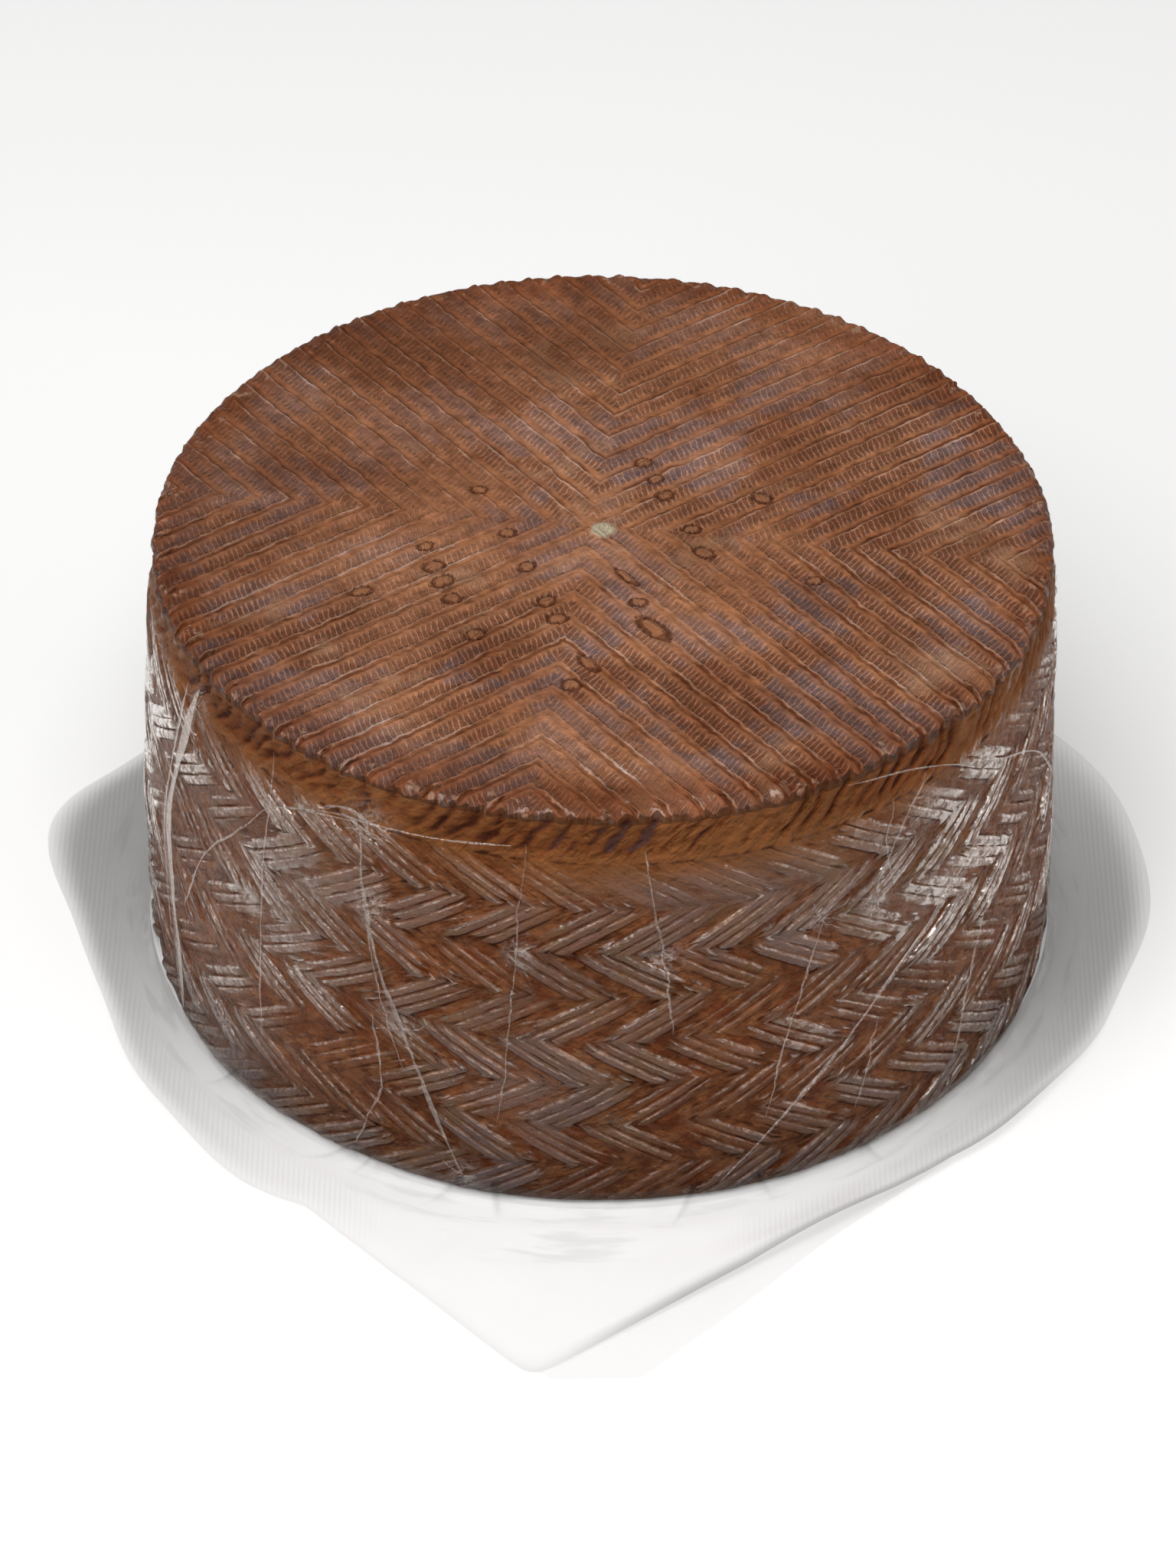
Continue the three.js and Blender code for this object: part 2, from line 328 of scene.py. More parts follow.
def side_height(angle, z):
    plait, _ = plait_relief(angle, z)
    plait = SMEARED_LEVEL + (plait - SMEARED_LEVEL) * (1 - smeared(angle, z))
    strip = strip_height(angle, z)
    height = plait + (strip - plait) * smooth_step(PLAIT_TOP - 0.6 * MM, PLAIT_TOP + 0.9 * MM, z)
    foot = smooth_step(0, 2.5 * MM, z)
    return height * foot - 0.3 * MM * (1 - foot)


def foot_inset(z):
    below = np.clip(FOOT_ROUND - z, 0, FOOT_ROUND)
    return FOOT_ROUND - np.sqrt(FOOT_ROUND ** 2 - below ** 2)

# %% Press the relief into the drums
def press_side(drum):
    points = points_of(drum)
    angle = np.arctan2(points[:, 1], points[:, 0])
    z = points[:, 2]
    relief = side_height(angle, z)
    radius = side_radius(z) - foot_inset(z) + relief
    radius += 0.35 * MM * soft_noise(angle * BELLY_RADIUS, z, 70 * MM, 8)
    points[:, 0] = radius * np.cos(angle)
    points[:, 1] = radius * np.sin(angle)
    place_points(drum, points)
    print(drum.name, "relief from", round(relief.min() / MM, 2), "to", round(relief.max() / MM, 2), "mm")


press_side(side)
press_side(crown)

# %% [markdown]
# ## The ribbed top
#
# The lid of the mould is a board cut with ribs, parallel to the diagonals of its four quarters, so
# they meet in chevrons. A grid turned by 45 degrees has its lines along the ribs in every quarter.
# With nine lines to a rib the profile is one height for each line: a narrow groove, a sharp crest,
# a hollow band and a rail.

# %% Sizes of the ribs
RIB_ACROSS = 7.915 * MM
LINES_PER_RIB = 9
RIB_TURN = math.radians(-7.36)
RIB_CENTRE = Vector((-2.68 * MM, 1.56 * MM))
GRID_LINES = 328
GRID_SIZE = GRID_LINES * RIB_ACROSS / math.sqrt(2) / LINES_PER_RIB
RIB_PROFILE = np.array((-0.08, 0.1, 0.05, -0.03, -0.05, -0.04, 0.01, 0.03, 0.02, -0.08)) * MM


def rib_places(x, y):
    """Across the ribs, counted in ribs, and along them in metres, as the sum of two sides."""
    aside, ahead = x - RIB_CENTRE.x, y - RIB_CENTRE.y
    one = np.abs(aside * math.cos(RIB_TURN) + ahead * math.sin(RIB_TURN))
    two = np.abs(ahead * math.cos(RIB_TURN) - aside * math.sin(RIB_TURN))
    return (one - two) / RIB_ACROSS, one + two


def rib_profile(x, y):
    line = np.mod(rib_places(x, y)[0], 1) * LINES_PER_RIB
    return np.interp(line, np.arange(LINES_PER_RIB + 1), RIB_PROFILE)


# The oval pips of the lid: places from the axis in mm, length and width, and heading in degrees.
PIPS = (
    (-37, -6, 3.2, 2.4, 30), (-35, -13, 4.2, 3.2, 20), (-33, -18, 4.4, 3.4, 40), (-31, -24, 3.6, 3.0, 10),
    (-26, -36, 3.8, 3.0, 30), (-15.7, -12.8, 3.4, 2.8, 50), (-11.5, -24.7, 3.8, 3.0, 40),
    (-9.2, -30.5, 4.0, 3.0, 10), (-2.7, -45.2, 5.6, 2.6, -55), (10.6, -33.6, 8.2, 3.6, -50),
    (5, -16.2, 6.4, 1.8, -50), (7.5, -24.9, 3.4, 2.6, 0), (13.1, 12.5, 3.6, 2.8, 30),
    (11.2, 18.1, 3.2, 2.6, 30), (8.7, 23.9, 3.4, 2.6, 20), (33.6, 11.8, 4.2, 3.0, -30),
    (18.7, 0.6, 3.4, 2.6, 0), (21.2, -7.5, 4.4, 3.0, -40), (44, -16.8, 3.2, 2.4, 0),
    (-6.2, -52.3, 3.6, 3.4, 0), (-49.8, -21.8, 4.6, 2.6, 20), (-19.9, -1.2, 3.2, 2.6, 0),
    (-26.2, 13.7, 3.2, 2.4, 0),
)


def pip_places(x, y):
    """The place in the nearest pip, in half-lengths and half-widths of it, and a mask round it."""
    nearest = np.full(x.shape, 99.0)
    best = np.zeros((len(x), 3))
    for across, ahead, long, wide, heading in PIPS:
        turn = math.radians(heading)
        aside, above = x - across * MM, y - ahead * MM
        u = (aside * math.cos(turn) + above * math.sin(turn)) / (long * MM / 2)
        v = (above * math.cos(turn) - aside * math.sin(turn)) / (wide * MM / 2)
        distance = np.hypot(u, v)
        closer = distance < nearest
        nearest = np.where(closer, distance, nearest)
        best[closer, 0], best[closer, 1] = u[closer], v[closer]
    best[:, 2] = smooth_step(2.1, 1.5, nearest)
    return best


def rim_drop(reach):
    """How far the rounded rim has fallen at a distance from the axis."""
    over = np.clip(reach - (side_radius(WHEEL_HEIGHT) - RIM_ROUND), 0, None) / RIM_ROUND
    rounded = 1 - np.sqrt(1 - np.minimum(over, 0.8) ** 2)
    # Past eight tenths of the round it goes on at the slope that it has there, 0.8 / 0.6.
    return RIM_ROUND * (rounded + np.clip(over - 0.8, 0, None) * 0.8 / 0.6)


def top_height(x, y):
    relief = rib_profile(x, y)
    relief *= 1 + 0.5 * soft_noise(x, y, 9 * MM, 47)
    reach = np.hypot(x, y)
    calm = 0.3 + 0.7 * smooth_step(6 * MM, 40 * MM, reach)
    worn = 1 - 0.45 * smooth_step(0.0, 1.0, soft_noise(x, y, 42 * MM, 3))
    relief = relief * calm * worn * (1 + 4 * smooth_step(88 * MM, 92 * MM, reach))
    pip = pip_places(x, y)
    distance = np.hypot(pip[:, 0], pip[:, 1])
    pressed = np.where(distance < 0.9, 0.18, -0.5 * np.exp(-((distance - 1.1) / 0.25) ** 2)) * MM
    relief = relief + (pressed - relief) * pip[:, 2] * smooth_step(1.5, 1.2, distance)
    sag = 0.3 * MM * soft_noise(x, y, 80 * MM, 4)
    return WHEEL_HEIGHT - 0.1 * MM + relief + sag - rim_drop(reach)

# %% Make the ribbed slab
bpy.ops.mesh.primitive_grid_add(
    x_subdivisions=GRID_LINES, y_subdivisions=GRID_LINES, size=GRID_SIZE,
    location=(RIB_CENTRE.x, RIB_CENTRE.y, 0), rotation=(0, 0, RIB_TURN + math.radians(45)))
slab = bpy.context.object
slab.name = "ribbed_slab"
bpy.ops.object.transform_apply(location=True, rotation=True)
points = points_of(slab)
points[:, 2] = top_height(points[:, 0], points[:, 1])
place_points(slab, points)
bpy.ops.object.mode_set(mode="EDIT")
bpy.ops.mesh.select_all(action="SELECT")
bpy.ops.mesh.extrude_region_move(TRANSFORM_OT_translate={"value": (0, 0, -2 * WHEEL_HEIGHT)})
bpy.ops.transform.resize(value=(1, 1, 0), center_override=(0, 0, -5 * MM))
bpy.ops.object.mode_set(mode="OBJECT")
turn_faces_out()
print("slab", triangle_count(slab), "triangles")

# %% [markdown]
# The low drum runs up past the slab, and what lies inside both is the top. Then the ribs end where
# they run out over the rim, as they do on the real one.

# %% Cut the top with the slab
make_active(crown)
cut = crown.modifiers.new("ribbed_top", "BOOLEAN")
cut.operation = "INTERSECT"
cut.solver = "MANIFOLD"
cut.object = slab
bpy.ops.object.modifier_apply(modifier=cut.name)
bpy.data.objects.remove(slab)
bpy.ops.object.mode_set(mode="EDIT")
bpy.ops.mesh.select_all(action="SELECT")
bpy.ops.mesh.remove_doubles(threshold=0.02 * MM)
bpy.ops.mesh.select_all(action="DESELECT")
bpy.ops.mesh.select_non_manifold()
bpy.ops.object.mode_set(mode="OBJECT")
open_points = sum(vertex.select for vertex in crown.data.vertices)
print("top", triangle_count(crown), "triangles,", open_points, "open points")
bpy.ops.object.shade_smooth_by_angle(angle=math.radians(60))
make_active(side)
bpy.ops.object.shade_smooth_by_angle(angle=math.radians(60))

# %% [markdown]
# ## Places for the rind's pattern
#
# The finish follows the relief, so a few attributes are stored on the meshes: how deep a point lies,
# a tint for each strand, how much the skin just above overhangs a point, which is more than nothing
# under a strand's lower edge and less on its upper edge, a place that is stretched along the strands
# for their fibres, a mask for the flat faces, and the place within each pip of the top.

# %% Store the rind's attributes
EDGE_STEP = 0.55 * MM


def sheared_angle(angle, z):
    """The angle followed back down the strands of the point's row, so that it is the same along one."""
    row = np.clip(np.floor(z / ROW), 0, ROWS)
    slant = np.where(row % 2 == 0, 1.0, -1.0)
    slant = np.where(row == ROWS, EDGE_LEAN * 1.3, slant)
    return angle - slant * (z / ROW - row) * BLOCK_ANGLE


# Where the film stands off the strands and mirrors more: degrees from the front, height in mm,
# spread in degrees and mm, and strength.
LIFTED = ((50, 78, 12, 22, 1.0), (43, 60, 8, 14, 1.0), (62, 55, 10, 26, 0.8), (40, 92, 10, 7, 0.7),
          (75, 60, 10, 40, 0.7), (-66, 70, 9, 30, 0.5), (-50, 60, 8, 24, 0.4), (-78, 60, 12, 40, 0.5),
          (30, 40, 12, 16, 0.4), (120, 60, 20, 30, 0.6), (200, 60, 20, 30, 0.6))
# Knots, where the film's folds meet: degrees from the front, height in mm, and how many creases.
KNOTS = ((-29.5, 89, 7), (-29, 71, 5), (-24.6, 41, 5), (-9.6, 66, 4), (7.6, 66, 5), (35.5, 69, 5),
         (43.5, 84, 6), (-60.5, 92, 5), (-16.5, 5, 4), (27.6, 69, 4), (50, 63, 5), (160, 70, 5), (215, 60, 5))
KNOT_SPREAD = 0.7


def lifted(angle, z):
    return np.maximum.reduce([strength * spot(angle, z, *place) for *place, strength in LIFTED])


def knotted(angle, z):
    a_mm = math.degrees(MM / BELLY_RADIUS)
    return np.maximum.reduce([
        spot(angle, z, at, height, KNOT_SPREAD * count * a_mm, KNOT_SPREAD * count)
        for at, height, count in KNOTS])


def slack(angle, z):
    """How loosely the film lies: drawn tight over the front, looser towards both sides."""
    aside = np.abs(degrees_from(angle, FRONT))
    return smooth_step(17, 56, aside + 10 * soft_noise(angle * BELLY_RADIUS, z, 35 * MM, 6))


def rim_knobs(x, y, z):
    """Where a rib's crest runs out over the rim and is still whole."""
    rim = smooth_step(88.5 * MM, 90.5 * MM, np.hypot(x, y))
    rim *= smooth_step(WHEEL_HEIGHT - 2.5 * MM, WHEEL_HEIGHT - 1.5 * MM, z)
    return rim * smooth_step(0.1, 0.3, soft_noise(x, y, 7 * MM, 49) + 8 * rib_profile(x, y) / MM)


def store_rind_places(obj):
    x, y, z = points_of(obj).T
    angle = np.arctan2(y, x)
    reach = np.hypot(x, y)
    upper = smooth_step(0.35 * MM, 0.12 * MM, np.abs(z - top_height(x, y)))
    under = smooth_step(FILM_UNDER + 0.1 * MM, FILM_UNDER, z)
    under *= smooth_step(BELLY_RADIUS, 0.96 * BELLY_RADIUS, reach)
    flat = np.maximum(upper, under)
    depth = side_radius(z) - foot_inset(z) - reach
    overhang = side_height(angle, z + EDGE_STEP) - side_height(angle, z)
    for name, values in (("hollow", np.clip(depth / GROUND, 0, 1)),
                         ("dent", np.clip((depth - 0.8 * MM) / (1.2 * MM), 0, 1)),
                         ("lifted", lifted(angle, z)), ("knotted", knotted(angle, z)),
                         ("overhang", overhang / MM)):
        store_value(obj, name, values * (1 - flat))
    pip = pip_places(x, y)
    for name, values in (("knob", rim_knobs(x, y, z)), ("slack", slack(angle, z)), ("flat_face", flat),
                         ("tint", plait_relief(angle, z)[1]), ("pip_mask", pip[:, 2] * upper)):
        store_value(obj, name, values)
    turned = sheared_angle(angle, z)
    grain = np.stack([BELLY_RADIUS * np.cos(turned), BELLY_RADIUS * np.sin(turned), 0.12 * z], axis=1)
    ribs, along = rib_places(x, y)
    grain_top = np.stack([ribs * RIB_ACROSS, 0.2 * along, 0 * z], axis=1)
    store_place(obj, "grain_place", grain + (grain_top - grain) * flat[:, None])
    store_place(obj, "pip_place", pip * (1, 1, 0))


store_rind_places(side)
store_rind_places(crown)

# %% [markdown]
# ## Helpers for finishes
#
# Every finish is a small network of shader nodes. A field is the output of a node: a number, a
# colour or a place that changes over the surface. Fields are added and multiplied as numbers are,
# and each sum or product puts a Math node into the network, so a finish reads as a few formulas.

# %% Fields
class Field:
    """The output of a node, for use in sums and products."""

    def __init__(self, socket):
        self.socket = socket
        self.tree = socket.id_data

    def __add__(self, other):
        return maths("ADD", self, other)

    def __sub__(self, other):
        return maths("SUBTRACT", self, other)

    def __rsub__(self, other):
        return maths("SUBTRACT", other, self)

    def __mul__(self, other):
        return maths("MULTIPLY", self, other)

    def __truediv__(self, other):
        return maths("DIVIDE", self, other)

    def __abs__(self):
        return maths("ABSOLUTE", self)

    __radd__ = __add__
    __rmul__ = __mul__


def first_tree(*values):
    return next(value.tree for value in values if isinstance(value, Field))

# %% Helpers that add nodes
def add_node(tree, kind, sockets=(), **settings):
    """A node with its settings, and its inputs fed from (input, number, colour or field) pairs."""
    node = tree.nodes.new(kind)
    for name, value in settings.items():
        setattr(node, name, value)
    for name, value in dict(sockets).items():
        socket = node.inputs[name]
        if isinstance(value, Field):
            tree.links.new(value.socket, socket)
        else:
            socket.default_value = (*value, 1) if socket.type == "RGBA" else value
    return node


def field(tree, kind, sockets=(), output=0, **settings):
    return Field(add_node(tree, kind, sockets, **settings).outputs[output])


def maths(operation, one, two=0.0, clamp=False):
    sockets = {0: one, 1: two}
    return field(first_tree(one, two), "ShaderNodeMath", sockets, operation=operation, use_clamp=clamp)


def place_maths(operation, *places, output="Vector"):
    """The same step for the x, y and z of places at once."""
    sockets = dict(enumerate(places))
    return field(first_tree(*places), "ShaderNodeVectorMath", sockets, output, operation=operation)


def parts(place):
    """The x, y and z of a place, each as a field."""
    return [Field(socket) for socket in add_node(place.tree, "ShaderNodeSeparateXYZ", {0: place}).outputs]


def blend(share, one, two, how="MIX"):
    """One colour where share is 0 and the other where it is 1, or with MULTIPLY both of them there."""
    sockets = {0: share, 6: one, 7: two}
    return field(first_tree(share, one, two), "ShaderNodeMix", sockets, 2, data_type="RGBA", blend_type=how)


def ramp(value, *stops):
    """A colour ramp through (place, colour) stops. A colour may be one number, for a grey."""
    node = add_node(value.tree, "ShaderNodeValToRGB", {0: value})
    bands = node.color_ramp.elements
    while len(bands) < len(stops):
        bands.new(0.5)
    for band, (place, colour) in zip(bands, stops):
        band.position = place
        band.color = (*colour, 1) if isinstance(colour, tuple) else (colour, colour, colour, 1)
    return Field(node.outputs[0])


def noise(place, scale, detail=3.0, roughness=0.55, distortion=0.0, output="Fac"):
    sockets = {"Vector": place, "Scale": scale, "Detail": detail, "Roughness": roughness}
    return field(place.tree, "ShaderNodeTexNoise", {**sockets, "Distortion": distortion}, output)


def step_up(value, low, high):
    """0 below low, 1 above high, and a smooth rise between. With low above high it falls instead."""
    sockets = {"Value": value, "From Min": low, "From Max": high}
    return field(value.tree, "ShaderNodeMapRange", sockets, interpolation_type="SMOOTHSTEP")


def attribute(tree, name, output="Fac"):
    return field(tree, "ShaderNodeAttribute", (), output, attribute_name=name, attribute_type="GEOMETRY")


def object_place(tree):
    return field(tree, "ShaderNodeTexCoord", (), "Object")


def bump(height, strength, distance, **normal):
    sockets = {"Strength": strength, "Distance": distance, "Height": height, **normal}
    return field(height.tree, "ShaderNodeBump", sockets)


# %% Groups and materials
def new_group(name, inputs, outputs):
    """An empty node group, with inputs as {name: kind} and with numbers as outputs."""
    group = bpy.data.node_groups.new(name, "ShaderNodeTree")
    for socket, kind in inputs.items():
        group.interface.new_socket(socket, in_out="INPUT", socket_type="NodeSocket" + kind)
    for socket in outputs:
        group.interface.new_socket(socket, in_out="OUTPUT", socket_type="NodeSocketFloat")
    return group, group.nodes.new("NodeGroupInput"), group.nodes.new("NodeGroupOutput")


def put_out(group, group_out, **values):
    for name, value in values.items():
        group.links.new(value.socket, group_out.inputs[name])


def new_tree(name):
    material = bpy.data.materials.new(name)
    material.use_nodes = True
    material.node_tree.nodes.clear()
    return material, material.node_tree


def put_shader(tree, shader, kind="ShaderNodeOutputMaterial"):
    tree.links.new(shader.socket, tree.nodes.new(kind).inputs["Surface"])


def wear(obj, *materials):
    obj.data.materials.clear()
    for material in materials:
        obj.data.materials.append(material)

# %% [markdown]
# ## The rind's finish
#
# The rind is oiled and aged: grey-brown where the strands pressed it, orange-brown in the hollows,
# and nearly black red in the deep corners, which is painted shade with some grime. Painted
# highlights lie on the strands' upper edges and on the top's crests and knobs. On the top the same
# colours follow the ribs, and each hollow band is crossed by fine teeth that grow out of the rail
# beside it. One material could do both, but each point would then work out two finishes and show
# one, so the side and the top have a material each, and share the functions for what is alike.

# %% Colours of the rind, in linear light
STRAND_PALE = (0.240, 0.121, 0.074)
STRAND_BROWN = (0.205, 0.090, 0.050)
STRAND_MAUVE = (0.168, 0.096, 0.082)
STRAND_OCHRE = (0.215, 0.105, 0.044)
HOLLOW_ORANGE = (0.242, 0.088, 0.033)
HOLLOW_DARK = (0.145, 0.044, 0.015)
HOLLOW_RED = (0.165, 0.034, 0.008)
# Deep red is painted shade in the crevices, with some grime, and also the ring round each pip.
DEEP_RED = (0.070, 0.016, 0.005)
EDGE_HIGHLIGHT = (0.480, 0.310, 0.240)
STRIP_TAN = (0.245, 0.090, 0.028)
STRIP_ORANGE = (0.190, 0.056, 0.015)
STRIP_MAUVE_SHADE = (0.095, 0.042, 0.034)
STRIP_DENT_SHADE = (0.072, 0.018, 0.006)
RAIL_ORANGE = (0.295, 0.124, 0.058)
CELL_RED = (0.168, 0.065, 0.034)
CELL_MAUVE = (0.116, 0.076, 0.080)
RUNG_TAN = (0.340, 0.175, 0.108)
CREST_PALE_AND_GLINT = (0.460, 0.300, 0.228)
GROOVE_RED = (0.120, 0.036, 0.014)
KNOB_HIGHLIGHT = (0.400, 0.240, 0.160)
MAUVE_HAZE = (0.160, 0.104, 0.098)
SMUDGE_TAN = (0.330, 0.180, 0.105)
PALE_SPOT = (0.48, 0.40, 0.28)
CREST_GLINT = (0.50, 0.41, 0.37)
# These only darken the colour they are multiplied with.
FOOT_SHADE = (0.50, 0.56, 0.66)
PATCH_SHADE = (0.76, 0.62, 0.52)
BACK_SHADE = (0.86, 0.84, 0.83)
LEFT_SHADE = (0.88, 0.88, 0.90)
RIM_SHADE = (0.66, 0.48, 0.36)

# %% The ladder pattern of the top, in mm from the middle of the ribs
RUNG_PITCH = 1.85

ladder, group_in, group_out = new_group(
    "ladder_ribs", {"Place": "Vector"}, ("Cell", "Rung", "Crest", "Groove", "Height"))
centred = field(ladder, "ShaderNodeMapping", {
    "Vector": Field(group_in.outputs["Place"]), "Location": (RIB_CENTRE.x, RIB_CENTRE.y, 0),
    "Rotation": (0, 0, RIB_TURN), "Scale": (MM, MM, MM)}, vector_type="TEXTURE")


def shaken(place, scale, detail, amount):
    """The place moved aside a little by a noise, so that straight lines waver."""
    shake = place_maths("SUBTRACT", noise(centred, scale, detail, 0.5, output="Color"), (0.5, 0.5, 0.5))
    return place_maths("MULTIPLY_ADD", shake, (amount, amount, 0), place)


one, two = (abs(part) for part in parts(shaken(shaken(centred, 0.22, 2, 1.7), 0.8, 1, 0.45))[:2])
across = maths("FRACT", (one - two) / (RIB_ACROSS / MM))
tick = abs(maths("FRACT", (1.4 * one + 0.6 * two) / RUNG_PITCH) - 0.5)
rung = step_up(0.14 * step_up(across, 0.35, 0.8) + 0.12 - tick, -0.07, 0.05)
band = ramp(across, (0.11, 0.0), (0.2, 1.0), (0.6, 1.0), (0.82, 0.0))
groove = ramp(across, (0.0, 1.0), (0.02, 0.9), (0.06, 0.0), (0.87, 0.0), (0.97, 1.0))
crest = ramp(across, (0.05, 0.0), (0.09, 1.0), (0.12, 1.0), (0.19, 0.0))
cell = band * (1 - rung)
put_out(ladder, group_out, Cell=cell, Rung=band * rung, Crest=crest, Groove=groove,
        Height=0.35 * crest - 0.5 * groove - 0.6 * cell)

# %% What both finishes of the rind share
class Rind:
    """A material of the rind, with the fields that both finishes start from."""

    def __init__(self, name):
        self.material, self.tree = new_tree(name)
        self.place = object_place(self.tree)
        grain_place = self.attribute("grain_place", "Vector")
        self.fibres = noise(grain_place, 1100, 2)
        self.streaks = noise(grain_place, 420)
        self.mottle = noise(self.place, 45, 4, 0.6)
        self.blotch = noise(self.place, 16, 2)
        self.speckle = noise(self.place, 900, 2)
        self.hollow = self.attribute("hollow")
        self.overhang = self.attribute("overhang")
        self.height = parts(self.place)[2]

    def attribute(self, name, output="Fac"):
        return attribute(self.tree, name, output)

    def strip_colour(self):
        """The strip under the rim: tan, and dark with painted shade down in its dents."""
        dent = self.attribute("dent") + 0.3 * (self.streaks - 0.5)
        colour = ramp(dent, (0.0, STRIP_TAN), (0.35, STRIP_ORANGE), (0.75, STRIP_DENT_SHADE))
        return blend(step_up(dent, 0.3, 0.7) * step_up(self.blotch, 0.48, 0.6), colour, STRIP_MAUVE_SHADE)

    # Painted shade, with some grime, darkens each point that the skin just above overhangs, as under the
    # strands' lower edges.
    def paint_crevice_shade(self, colour):
        return blend(0.88 * step_up(self.overhang, 0.1, 0.45), colour, DEEP_RED)

    def fine_grain(self):
        gritty = 0.55 * self.hollow + 0.2
        fine = 0.08 * self.fibres + 0.15 * self.streaks + 0.15 * self.speckle
        return fine + noise(self.place, 330, 2) * gritty

    def finish(self, colour, normal):
        """The colour, unevenly shaded and darker at the foot, as an oily skin."""
        colour = blend(0.75 * step_up(self.height, 0.03, 0.0), colour, FOOT_SHADE, "MULTIPLY")
        colour = blend(0.8, colour, ramp(self.mottle, (0.3, 0.78), (0.7, 1.15)), "MULTIPLY")
        colour = blend(0.32, colour, ramp(self.streaks, (0.36, 0.62), (0.62, 1.3)), "MULTIPLY")
        rough = 0.15 * self.hollow + ramp(self.speckle, (0.3, 0.34), (0.7, 0.5))
        put_shader(self.tree, field(self.tree, "ShaderNodeBsdfPrincipled", {
            "Base Color": colour, "Roughness": rough, "Normal": normal, "Specular IOR Level": 0.08}))
        print(self.material.name, "of", len(self.tree.nodes), "nodes")
        return self.material

# %% The plaited side
GRAIN_DEPTH = 2.4 * MM


def plaited_rind():
    rind = Rind("plaited_rind")
    place, blotch = rind.place, rind.blotch
    deep = rind.hollow + 0.35 * (rind.mottle - 0.5) + 0.3 * (rind.speckle - 0.5)
    tint = rind.attribute("tint")
    low_down = step_up(rind.height + 0.06 * blotch, 0.105, 0.03)
    greyer = maths("MAXIMUM", low_down, 0.7 * step_up(tint + 0.8 * blotch, 0.8, 1.2))
    strand = blend(greyer, STRAND_PALE, STRAND_MAUVE)
    strand = blend(step_up(deep, 0.1, 0.5), strand, STRAND_BROWN)
    strand = blend(0.6 * step_up(noise(place, 95), 0.5, 0.62), strand, STRAND_OCHRE)
    ground = blend(step_up(noise(place, 240), 0.4, 0.58), HOLLOW_DARK, HOLLOW_ORANGE)
    ground = blend(0.6 * step_up(noise(place, 150), 0.5, 0.62), ground, HOLLOW_RED)
    colour = blend(step_up(deep, 0.5, 0.9), strand, ground)
    colour = blend(0.7, colour, ramp(tint, (0.0, 0.75), (1.0, 1.22)), "MULTIPLY")
    strip_share = step_up(rind.height, PLAIT_TOP - 8 * MM, PLAIT_TOP)
    colour = rind.paint_crevice_shade(blend(strip_share, colour, rind.strip_colour()))
    # The upper edges of the strands carry painted highlights, in runs of small beads.
    beads = step_up(noise(place, 640, 1), 0.44, 0.58)
    runs = step_up(noise(place, 170, 2), 0.42, 0.58)
    lit_lip = (0.62 * runs + 0.12) * (0.65 * beads + 0.4) * (1 - strip_share)
    colour = blend(step_up(rind.overhang, -0.1, -0.36) * lit_lip, colour, EDGE_HIGHLIGHT)
    return rind.finish(colour, bump(rind.fine_grain() + 0.12 * lit_lip, 1.0, GRAIN_DEPTH))

# %% The ribbed top
RIB_DEPTH = 0.9 * MM


